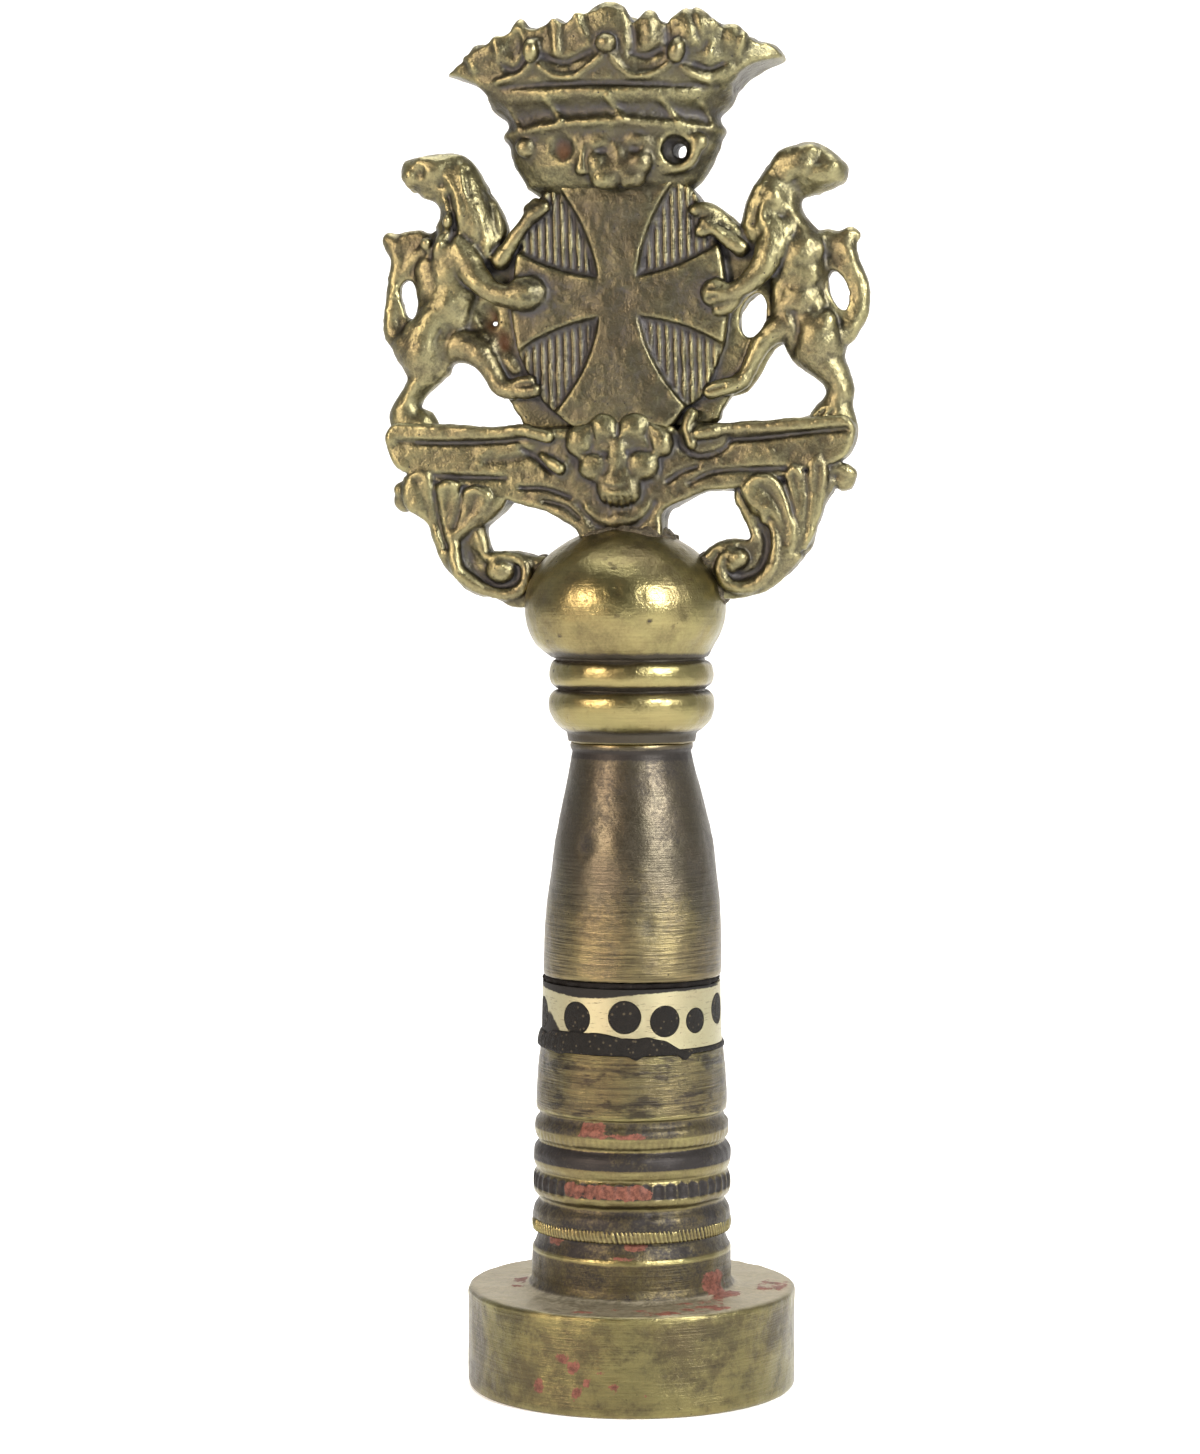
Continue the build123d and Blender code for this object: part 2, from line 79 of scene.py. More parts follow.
def makeCamera(s):
    turn = math.radians(s["azimuth"])
    back = Vector((math.sin(turn), -math.cos(turn), 0))
    right = Vector((math.cos(turn), math.sin(turn), 0))
    aim = right * s["aimSide"] + Vector((0, 0, s["aimHeight"]))
    place = right * s["aimSide"] + back * s["distance"] + Vector((0, 0, s["eyeHeight"]))
    data = bpy.data.cameras.new("seatedView")
    data.lens = s["lens"]
    data.sensor_width = 36.0
    data.clip_start = 0.005
    data.clip_end = 10.0
    camera = bpy.data.objects.new("seatedView", data)
    aimed(camera, place, aim)
    bpy.context.scene.camera = camera


def makeLamp(name, place, size, power, colour):
    data = bpy.data.lights.new(name, "AREA")
    data.shape = "DISK"
    data.size = size * mm
    data.energy = power
    data.color = colour
    aimed(bpy.data.objects.new(name, data), place, studio["lampAim"])


def makeSky(s):
    world = bpy.data.worlds.new("softRoom")
    bpy.context.scene.world = world
    world.use_nodes = True
    tree = world.node_tree
    nodes, links = tree.nodes, tree.links
    nodes.clear()
    out = nodes.new("ShaderNodeOutputWorld")
    sky = nodes.new("ShaderNodeBackground")
    coord = nodes.new("ShaderNodeTexCoord")
    split = nodes.new("ShaderNodeSeparateXYZ")
    fade = nodes.new("ShaderNodeMapRange")
    fade.interpolation_type = "SMOOTHSTEP"
    fade.inputs["From Min"].default_value, fade.inputs["From Max"].default_value = s["skyTurn"]
    fade.inputs["To Min"].default_value = s["skyFront"]
    fade.inputs["To Max"].default_value = s["skyBack"]
    links.new(coord.outputs["Generated"], split.inputs[0])
    links.new(split.outputs["Y"], fade.inputs["Value"])
    links.new(fade.outputs["Result"], sky.inputs["Strength"])
    links.new(sky.outputs[0], out.inputs[0])


def makeFloor(s):
    # a floor that bends up into a wall behind the seal
    reach, wall, bend = s["floorReach"], s["wallDistance"], s["wallBend"]
    path = [(-reach, 0.0), (wall - bend, 0.0)]
    for i in range(1, s["bendSteps"] + 1):
        a = math.pi / 2 * i / s["bendSteps"]
        path.append((wall - bend + bend * math.sin(a), bend - bend * math.cos(a)))
    path.append((wall, reach))
    verts = [(x * mm, y * mm, z * mm) for y, z in path for x in (-reach, reach)]
    faces = [(2 * i, 2 * i + 1, 2 * i + 3, 2 * i + 2) for i in range(len(path) - 1)]
    mesh = bpy.data.meshes.new("paleFloor")
    mesh.from_pydata(verts, [], faces)
    mesh.shade_smooth()
    floor = bpy.data.objects.new("paleFloor", mesh)
    bpy.context.scene.collection.objects.link(floor)
    paper = bpy.data.materials.new("palePaper")
    paper.use_nodes = True
    shader = paper.node_tree.nodes["Principled BSDF"]
    shader.inputs["Base Color"].default_value = s["floorColour"]
    shader.inputs["Roughness"].default_value = s["floorRough"]
    shader.inputs["Emission Color"].default_value = (1, 1, 1, 1)
    shader.inputs["Emission Strength"].default_value = s["floorGlow"]
    mesh.materials.append(paper)


makeCamera(studio)
makeFloor(studio)
makeSky(studio)
for lamp in studio["lamps"]:
    makeLamp(*lamp)
bpy.context.scene.view_settings.view_transform = "Standard"
print("studio: camera, lamps and floor set")


# clay: signed distances in mm on a grid, sculpted on the front half and mirrored to the back
# x runs right of the middle, f forward of it, z up

airDistance = 5.0    # mm, what an empty grid holds
margin = 0.4         # mm round a shape that it may still blend into
tiny = 1e-9


def newClay(width, depth, low, high, voxel):
    x = np.arange(-width, width, voxel, dtype=np.float32)
    f = np.arange(voxel / 2, depth, voxel, dtype=np.float32)
    z = np.arange(low, high, voxel, dtype=np.float32)
    field = np.full((x.size, f.size, z.size), airDistance, np.float32)
    return {"x": x, "f": f, "z": z, "voxel": voxel, "field": field}


def region(clay, low, high, around):
    cuts = []
    for axis, a, b in zip("xfz", low, high):
        i, j = np.searchsorted(clay[axis], (a - around, b + around))
        cuts.append(slice(i, j))
    x = clay["x"][cuts[0]][:, None, None]
    f = clay["f"][cuts[1]][None, :, None]
    z = clay["z"][cuts[2]][None, None, :]
    return tuple(cuts), x, f, z


def softMin(a, b, k):
    h = np.clip(0.5 + 0.5 * (b - a) / k, 0, 1)
    return b + (a - b) * h - k * h * (1 - h)


def merge(clay, cuts, shape, blend, carve=False):
    old = clay["field"][cuts]
    clay["field"][cuts] = -softMin(-old, shape, blend) if carve else softMin(old, shape, blend)


def smoothKnots(knots, steps=5):
    k = np.array(knots, float)
    k = np.vstack([2 * k[0] - k[1], k, 2 * k[-1] - k[-2]])
    out = []
    for p, q, r, s in zip(k, k[1:], k[2:], k[3:]):
        for t in np.arange(steps) / steps:
            bend = (r - p) * t + (2 * p - 5 * q + 4 * r - s) * t**2 + (3 * q - p - 3 * r + s) * t**3
            out.append(q + 0.5 * bend)
    out.append(k[-2])
    return np.array(out)


def limb(clay, knots, blend):
    # knots are (x, z, f, radius) and may end with the depth as a share of the radius
    path = smoothKnots(knots)
    if path.shape[1] == 4:
        path = np.column_stack([path, np.ones(len(path))])
    thick = path[:, 3] * np.maximum(path[:, 4], 1)
    places = path[:, [0, 2, 1]]
    low = (places - thick[:, None]).min(0)
    high = (places + thick[:, None]).max(0)
    cuts, x, f, z = region(clay, low, high, blend + margin)
    best = None
    for a, b in zip(path, path[1:]):
        flat = (a[4] + b[4]) / 2
        ux, uz, uf = b[0] - a[0], b[1] - a[1], (b[2] - a[2]) / flat
        dx, dz, df = x - a[0], z - a[1], (f - a[2]) / flat
        span = max(ux * ux + uz * uz + uf * uf, tiny)
        t = np.clip((dx * ux + dz * uz + df * uf) / span, 0, 1)
        away = np.sqrt((dx - ux * t) ** 2 + (dz - uz * t) ** 2 + (df - uf * t) ** 2)
        away = away - (a[3] + (b[3] - a[3]) * t)
        best = away if best is None else np.minimum(best, away)
    merge(clay, cuts, best, blend)


def tilted(x, z, tilt):
    c, s = math.cos(math.radians(tilt)), math.sin(math.radians(tilt))
    return x * c + z * s, z * c - x * s


def roundDistance(*axes):
    # distance to an ellipse or ellipsoid from pairs of (offset, radius)
    near = np.sqrt(sum((d / r) ** 2 for d, r in axes))
    slope = np.sqrt(sum((d / r**2) ** 2 for d, r in axes))
    return near * (near - 1) / np.maximum(slope, 1e-6)


def blob(clay, place, radii, tilt=0.0, blend=0.25, carve=False):
    # place and radii are in the order x, z, f; tilt turns the blob in the x-z plane
    x0, z0, f0 = place
    rx, rz, rf = radii
    reach = max(rx, rz)
    low = (x0 - reach, f0 - rf, z0 - reach)
    high = (x0 + reach, f0 + rf, z0 + reach)
    cuts, x, f, z = region(clay, low, high, blend + margin)
    u, v = tilted(x - x0, z - z0, tilt)
    merge(clay, cuts, roundDistance((u, rx), (v, rz), (f - f0, rf)), blend, carve)


def blobs(clay, rows, blend, carve=False):
    for place, radii in rows:
        blob(clay, place, radii, 0, blend, carve)


def ringBead(clay, place, radius, thick, blend):
    x0, z0, f0 = place
    reach = radius + thick
    low = (x0 - reach, f0 - thick, z0 - reach)
    high = (x0 + reach, f0 + thick, z0 + reach)
    cuts, x, f, z = region(clay, low, high, blend + margin)
    aside = np.sqrt((x - x0) ** 2 + (z - z0) ** 2) - radius
    merge(clay, cuts, np.sqrt(aside**2 + (f - f0) ** 2) - thick, blend)


def pierce(clay, place, radii, tilt=0.0):
    # a hole from front to back
    x0, z0 = place
    reach, blend = max(radii), 0.15
    low, high = (x0 - reach, 0, z0 - reach), (x0 + reach, clay["f"][-1], z0 + reach)
    cuts, x, f, z = region(clay, low, high, blend + margin)
    u, v = tilted(x - x0, z - z0, tilt)
    u, v = u / radii[0], v / radii[1]
    merge(clay, cuts, (np.sqrt(u * u + v * v) - 1) * min(radii) + 0 * f, blend, True)


def lineDistance(x, z, starts, ends):
    best = 1e9
    for (ax, az), (bx, bz) in zip(starts, ends):
        ex, ez = bx - ax, bz - az
        t = np.clip(((x - ax) * ex + (z - az) * ez) / max(ex * ex + ez * ez, tiny), 0, 1)
        best = np.minimum(best, (x - ax - ex * t) ** 2 + (z - az - ez * t) ** 2)
    return np.sqrt(best)


def outlineDistance(x, z, loop):
    # signed distance in the x-z plane to a closed outline
    ends = np.roll(loop, -1, 0)
    inside = np.zeros(np.broadcast(x, z).shape, bool)
    for (ax, az), (bx, bz) in zip(loop, ends):
        rise = bz - az if abs(bz - az) > tiny else tiny
        inside ^= ((az > z) != (bz > z)) & (x < (bx - ax) * (z - az) / rise + ax)
    return np.where(inside, -1, 1) * lineDistance(x, z, loop, ends)


def wholeLoop(right, left, steps=4):
    # an outline from its right half and the mirror image of its left half, both from the top down
    return np.vstack([smoothKnots(right, steps), smoothKnots(left, steps)[::-1] * (-1, 1)])


def closedLoop(points, steps=4):
    points = list(points)
    return smoothKnots(points[-1:] + points + points[:2], steps)[steps:-steps - 1]


def level(height):
    return lambda x, z: height + 0 * (x + z)


def slab(clay, loop, height, edge, blend=0.2):
    # an outline raised to a height map on both faces, with a rounded edge
    low, high = loop.min(0), loop.max(0)
    cuts, x, f, z = region(clay, (low[0], 0, low[1]), (high[0], clay["f"][-1], high[1]), 0.6)
    flat = outlineDistance(x[:, 0], z[:, 0], loop)[:, None, :] + edge
    rise = f - height(x[:, 0], z[:, 0])[:, None, :] + edge
    corner = np.sqrt(np.maximum(flat, 0) ** 2 + np.maximum(rise, 0) ** 2)
    merge(clay, cuts, np.minimum(np.maximum(flat, rise), 0) + corner - edge, blend)


def stroke(clay, points, width, height, steps=4, front=0.0):
    # a raised line, or a groove where the height is negative, from about front forward
    path = smoothKnots(points, steps)
    low = (path[:, 0].min(), front, path[:, 1].min())
    high = (path[:, 0].max(), clay["f"][-1], path[:, 1].max())
    cuts, x, f, z = region(clay, low, high, 3 * width)
    away = lineDistance(x[:, 0], z[:, 0], path, path[1:])
    clay["field"][cuts] -= (height * np.exp(-((away / width) ** 2)))[:, None, :]


def strokes(clay, rows, front=0.0):
    for width, height, lines in rows:
        for points in lines:
            stroke(clay, points, width, height, 4, front)


def castNoise(sizes, voxel, grain, rng):
    # a coarse random grid with smooth steps between its values
    cells = [max(2, int(n * voxel / grain) + 2) for n in sizes]
    grid = rng.standard_normal(cells).astype(np.float32)
    for axis, size in enumerate(sizes):
        at = np.linspace(0, grid.shape[axis] - 1.001, size)
        i = at.astype(int)
        t = (at - i) ** 2 * (3 - 2 * (at - i))
        shape = [1] * grid.ndim
        shape[axis] = size
        t = t.reshape(shape).astype(np.float32)
        grid = np.take(grid, i, axis) * (1 - t) + np.take(grid, i + 1, axis) * t
    return grid


def blurred(values, radius):
    for axis in range(values.ndim):
        for _ in range(2):
            pad = [(0, 0)] * values.ndim
            pad[axis] = (radius + 1, radius)
            total = np.cumsum(np.pad(values, pad, mode="edge"), axis, dtype=np.float32)
            n = values.shape[axis]
            high = np.take(total, np.arange(n) + 2 * radius + 1, axis)
            low = np.take(total, np.arange(n), axis)
            values = (high - low) / (2 * radius + 1)
    return values


def netSurface(field):
    # one vertex per cell that the surface crosses, one quad per crossed grid edge
    solid = field < 0
    offsets = np.array(list(np.ndindex(2, 2, 2)))
    size = np.array(field.shape) - 1
    count = sum(solid[i:size[0] + i, j:size[1] + j, k:size[2] + k].astype(np.int8) for i, j, k in offsets)
    active = (count > 0) & (count < 8)
    cells = np.argwhere(active)
    index = np.full(active.shape, -1, np.int32)
    index[active] = np.arange(len(cells))
    corner = np.stack([field[tuple((cells + o).T)] for o in offsets], 1)
    total, hits = np.zeros((len(cells), 3)), np.zeros(len(cells))
    for a in range(8):
        for bit in (4, 2, 1):
            b = a | bit
            if b == a:
                continue
            cross = (corner[:, a] < 0) != (corner[:, b] < 0)
            t = np.where(cross, corner[:, a] / np.where(cross, corner[:, a] - corner[:, b], 1), 0)
            total += np.where(cross[:, None], offsets[a] + t[:, None] * (offsets[b] - offsets[a]), 0)
            hits += cross
    verts = cells + total / hits[:, None]
    quads = []
    for axis in range(3):
        u, v = (axis + 1) % 3, (axis + 2) % 3
        below = np.take(solid, np.arange(field.shape[axis] - 1), axis)
        above = np.take(solid, np.arange(1, field.shape[axis]), axis)
        at = np.argwhere(below != above)
        at = at[(at[:, u] > 0) & (at[:, v] > 0) & (at[:, u] < size[u]) & (at[:, v] < size[v])]
        out = below[tuple(at.T)]
        ring = []
        for du, dv in ((1, 1), (0, 1), (0, 0), (1, 0)):
            cell = at.copy()
            cell[:, u] -= du
            cell[:, v] -= dv
            ring.append(index[tuple(cell.T)])
        ring = np.stack(ring, 1)
        quads.append(np.where(out[:, None], ring, ring[:, ::-1]))
    return verts, np.concatenate(quads)


def gridSample(values, verts):
    i = np.clip(verts.astype(int), 0, np.array(values.shape) - 2)
    t = verts - i
    total = 0
    for dx, dy, dz in np.ndindex(2, 2, 2):
        weight = abs(1 - dx - t[:, 0]) * abs(1 - dy - t[:, 1]) * abs(1 - dz - t[:, 2])
        total = total + weight * values[i[:, 0] + dx, i[:, 1] + dy, i[:, 2] + dz]
    return total


def relaxed(verts, quads, pull):
    # one round of light smoothing along the mesh edges
    a = np.concatenate([quads[:, i] for i in range(4)])
    b = np.concatenate([quads[:, (i + 1) % 4] for i in range(4)])
    n = len(verts)
    ends = np.bincount(a, minlength=n)[:, None] + np.bincount(b, minlength=n)[:, None]
    mean = np.zeros_like(verts)
    for axis in range(3):
        mean[:, axis] = np.bincount(a, verts[b, axis], n) + np.bincount(b, verts[a, axis], n)
    return verts + pull * (mean / ends - verts)


def meshPiece(name, verts, quads, marks, body, replaced):
    # marks are named values, one for each vertex
    mesh = bpy.data.meshes.new(name)
    mesh.vertices.add(len(verts))
    mesh.vertices.foreach_set("co", np.asarray(verts, np.float32).ravel())
    corners = np.concatenate([np.asarray(q, np.int32).ravel() for q in quads])
    sizes = np.concatenate([np.full(len(q), np.shape(q)[1], np.int32) for q in quads])
    starts = np.concatenate([[0], np.cumsum(sizes)[:-1]]).astype(np.int32)
    mesh.loops.add(len(corners))
    mesh.loops.foreach_set("vertex_index", corners)
    mesh.polygons.add(len(sizes))
    mesh.polygons.foreach_set("loop_start", starts)
    mesh.update(calc_edges=True)
    mesh.validate()
    mesh.shade_smooth()
    for label, values in marks.items():
        layer = mesh.attributes.new(label, "FLOAT", "POINT")
        layer.data.foreach_set("value", np.asarray(values, np.float32))
    piece = bpy.data.objects.new(name, mesh)
    bpy.context.scene.collection.objects.link(piece)
    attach(piece, body)
    if replaced:
        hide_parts(*replaced)
    return piece


# the casting leans a little on the ball and sits left of the stem's axis

crest = {
    "lean": -1.5,           # degrees
    "leanHeight": 52.3,
    "aside": -0.35,
    "voxel": 0.125,
    "swells": ((0.06, 1.3), (0.025, 0.32)),    # height, grain
    "relax": 0.35,
    "nearBlur": 2,          # voxels that tell a hollow from a ridge
    "farBlur": 7,           # voxels that tell a sheltered place from an open one, for its painted shade
}


def crestPiece(name, clay, rng, replaced=(), rubbed=((0, 1), (0, 0)), rust=()):
    # rubbed gives distances from the middle and how bright they are worn, rust gives (x, z, width, height)
    voxel, pad = clay["voxel"], 2
    field = np.concatenate([clay["field"][:, ::-1], clay["field"]], 1)
    for height, grain in crest["swells"]:
        field = field + height * castNoise(field.shape, voxel, grain, rng)
    field = np.pad(field, pad, constant_values=airDistance)
    verts, quads = netSurface(field)
    solid = np.clip(0.5 - field / voxel, 0, 1).astype(np.float32)
    near = gridSample(blurred(solid, crest["nearBlur"]), verts)
    far = gridSample(blurred(solid, crest["farBlur"]), verts)
    verts = relaxed(verts, quads, crest["relax"])
    place = np.array([clay["x"][0], -clay["f"][-1], clay["z"][0]]) + (verts - pad) * voxel
    x, z = place[:, 0].copy(), place[:, 2] - crest["leanHeight"]
    leanX, leanZ = tilted(x, z, crest["lean"])
    place[:, 0], place[:, 2] = leanX + crest["aside"], leanZ + crest["leanHeight"]
    # the first mark darkens small hollows with patina and painted shade and lightens ridges, the second
    # paints shade into sheltered places
    marks = {"patinaAndShade": near * 2 - 1 - np.interp(np.abs(x), *rubbed), "paintedShade": far * 2 - 1, "rust": 0 * x}
    for atX, atZ, wide, tall in rust:
        away = ((x - atX) / wide) ** 2
        marks["rust"] += np.exp(-away - ((z + crest["leanHeight"] - atZ) / tall) ** 2)
    print(name, len(quads), "faces")
    return meshPiece(name, place * mm, [quads], marks, "handle", replaced)


# shield and lions

shield = {
    "outline": [
        (0, 80.4), (3.5, 80.4), (5, 79.9), (6.2, 77.9), (6.9, 75.6), (7.25, 73), (7.15, 70.6), (6.5, 68.2),
        (5.4, 66.2), (4.2, 65.1), (3, 64.2), (0, 64),
    ],
    "web": [
        (0, 80), (5, 79.5), (6.5, 77.6), (8.3, 76.3), (10.4, 75.4), (10.9, 73.8), (10.6, 71.8), (10, 70.3),
        (9.2, 69.1), (8.5, 67.8), (7.8, 66.7), (6.9, 65.2), (5.8, 64.3), (0, 64.2),
    ],
    "clay": (17.4, 3.6, 62.9, 83.9),    # half width, half depth, bottom, top
    "aside": 0.22, "half": 1.1, "edge": 0.28, "webHalf": 0.62, "webEdge": 0.3, "belly": 0.3,
    "bellyReach": 7.4, "crossAt": 72.85, "crossRise": 0.4, "crossEdge": 0.24, "armHalf": 1.28,
    "armCurve": 2.1, "armMost": 1.2,
    "arms": ((6.6, 3.3), (7.2, 4.2), (6.6, 1.85)),    # above, below (reach, half width), sides (reach, gain)
    "hatch": 0.53, "hatchDepth": 0.24,
    "hole": ((9.1, 71.4), (0.88, 1.38), -15),
    "recess": ((-8.8, 71.9, 1.25), (0.95, 1.3, 1.05), 15),
    "pinhole": ((-8.45, 71.45), (0.1, 0.08)),
    "rubbed": ((5.5, 7.5), (-0.12, 0.13)),    # distances from the middle, wear
    "rust": [(-8.5, 71.5, 0.9, 1.2), (-7.7, 70, 0.5, 0.9)],
}

# a lion has outlines of its body and of the web by its tail, a hole and masses as (place, radii, tilt), limbs
# as (knots, blend), raised locks and sunk creases as (width, height, lines), and an eye as (place, radii)
rightLion = {
    "outline": [
        (8.3, 76.7), (8.5, 77.9), (8.9, 78.9), (9.5, 80.1), (10.4, 81.3), (11.6, 82.2), (12.7, 82.6),
        (13.9, 82.3), (14.9, 81.7), (15.5, 80.9), (15.4, 80.1), (14.9, 79.5), (13.8, 78.95), (12.8, 78.85),
        (12.6, 78.4), (12.9, 77.8), (13.5, 77.1), (13.95, 76.4), (13.9, 75), (14, 74), (13.9, 73),
        (14.05, 72), (14.6, 71), (14.95, 70), (15.1, 69), (15, 68.3), (15.4, 67.2), (15.65, 66.2),
        (15.5, 65.3), (15.7, 64.4), (15.6, 63.4), (14.2, 63.2), (12.8, 63.4), (12.6, 64.5), (12.9, 65.1),
        (13.6, 65.8), (13.75, 66.3), (13.3, 66.9), (12.2, 67.65), (11.35, 68.6), (10.8, 70), (10.3, 71.2),
        (10.2, 72.5), (10.1, 73.6), (9.9, 74.6), (9.3, 75.3),
    ],
    "web": [
        (13.4, 76.4), (15.3, 76.3), (15.6, 74.9), (16.1, 73.4), (16.25, 72.4), (15.95, 71.1), (15.2, 70.2),
        (13.8, 69.8), (13.2, 73),
    ],
    "hole": ((14.78, 72.75), (0.62, 1.45), 16),
    "masses": [
        ((10.2, 78.3, 0.85), (1.3, 2.6, 1.05), -20), ((12.5, 81.15, 0.75), (1.8, 1.2, 1), -8),
        ((14, 80.5, 0.7), (1.25, 1.05, 0.9), 0), ((12.9, 81.7, 1.2), (0.85, 0.6, 0.5), 0),
        ((14.4, 80.75, 1.05), (0.6, 0.5, 0.42), 0), ((11.9, 80.5, 1.25), (0.6, 0.6, 0.42), 0),
        ((12.3, 74.9, 0.8), (1.45, 1.9, 1.05), 0), ((12.3, 72.5, 0.7), (1.15, 1.5, 0.95), 0),
        ((13.3, 69.7, 0.8), (1.4, 1.9, 1.05), -12), ((12.5, 75.45, 1.45), (0.75, 0.8, 0.32), 0),
        ((13.5, 75.45, 1.1), (0.45, 0.55, 0.36), 0), ((12.55, 73.7, 1.3), (0.95, 0.75, 0.32), 0),
        ((12.1, 72.4, 1.2), (0.9, 0.75, 0.3), 0), ((14, 70.7, 1.3), (0.5, 0.65, 0.38), 0),
        ((10.6, 77, 1.6), (0.7, 0.8, 0.4), 0),
    ],
    "limbs": [
        ([(14.2, 69.6, 0, 0.9, 0.9), (15.2, 70.1, 0, 0.78, 1), (16, 71.1, 0, 0.64, 1.1),
          (16.22, 72.4, 0, 0.6, 1.1), (16.08, 73.5, 0, 0.63, 1.1), (15.5, 74.7, 0, 0.7, 1.1),
          (15.15, 75.7, 0, 0.78, 1), (15.5, 76.45, 0, 0.55, 1), (15.95, 76.35, 0, 0.36, 1)], 0.25),
        ([(13.2, 76, 0, 0.95, 0.7), (14.5, 75.9, 0, 0.95, 0.6), (15.3, 75.8, 0, 0.7, 0.8)], 0.3),
        ([(12.5, 70.9, 0.3, 1.15, 0.9), (11.2, 70.55, 0.5, 1, 0.9), (10, 69.9, 0.75, 0.82, 0.9),
          (9.35, 68.95, 0.8, 0.66, 0.95), (8.75, 67.7, 0.85, 0.6, 1), (8, 66.9, 0.95, 0.6, 1),
          (6.9, 66.65, 1.1, 0.6, 1), (6.25, 66.4, 1.15, 0.5, 1)], 0.18),
        ([(11, 76.5, 1, 1.2, 0.85), (10.5, 75.6, 1.4, 1.08, 0.85), (10.1, 74.7, 1.6, 0.92, 0.9),
          (9.3, 73.7, 1.75, 0.78, 0.95), (8.4, 73, 1.8, 0.68, 1), (7.5, 72.75, 1.8, 0.7, 0.95),
          (6.8, 72.85, 1.75, 0.95, 0.75)], 0.2),
        ([(8.1, 72.4, 1.6, 0.5), (7.6, 71.95, 1.65, 0.5), (7, 71.7, 1.65, 0.46)], 0.15),
        ([(8.4, 75.8, 1, 0.6), (7.5, 76.45, 1.2, 0.54), (6.7, 77.05, 1.3, 0.5),
          (5.9, 77, 1.35, 0.44)], 0.14),
        ([(8.4, 76.3, 0.6, 0.62, 0.9), (7, 77.85, 0.85, 0.55, 1), (6.1, 78.4, 1.1, 0.58, 1),
          (5.5, 78.4, 1.25, 0.48, 1)], 0.14),
        ([(6.8, 77.65, 1.1, 0.45), (6.2, 77.5, 1.3, 0.45)], 0.14),
    ],
    "locks": [
        (0.4, 0.12, [[(10.8, 81.1), (10.1, 79.6), (9.9, 77.8), (10.5, 76.6)]]),
        (0.3, 0.14, [[(9.5, 79.7), (9, 78.4), (8.8, 77.3)]]),
        (0.4, 0.14, [[(10.9, 79.2), (11.9, 77.7), (13.1, 76.2)]]),
        (0.3, 0.12, [[(13.4, 82.1), (14.4, 81.6), (15, 80.9)]]),
    ],
    "creases": [
        (0.4, -0.26, [[(12.1, 80.1), (12.3, 79.2), (12.7, 78.2), (13.5, 76.9)]]),
        (0.4, -0.22, [[(12.6, 79.5), (13.6, 79.35), (14.8, 79.5)]]),
        (0.22, -0.14, [[(10.6, 80.3), (9.9, 78.8), (9.4, 77.2)]]),
        (0.3, -0.16, [[(11.9, 71.4), (12.1, 70.1), (11.7, 68.8)]]),
        (0.3, -0.08, [[(11, 74.8), (10.8, 73.6), (11.1, 72.4)]]),
        (0.22, -0.06, [[(12.3, 74.55), (13, 74.4), (13.7, 74.5)], [(12, 73), (12.8, 72.85), (13.5, 73)]]),
        (0.24, -0.08, [[(12.8, 71.9), (13.4, 71.3), (13.9, 71.6)]]),
        (0.12, -0.18, [[(7.2, 73.2), (6.6, 73.1)], [(7, 72.6), (6.4, 72.4)]]),
        (0.12, -0.2, [[(7.2, 66.75), (6.1, 66.45)], [(13.7, 64.9), (13.3, 64.6)],
          [(14.3, 64.9), (14, 64.6)]]),
    ],
    "eye": ((13.7, 81.2, 1.8), (0.34, 0.3, 0.35)),
}

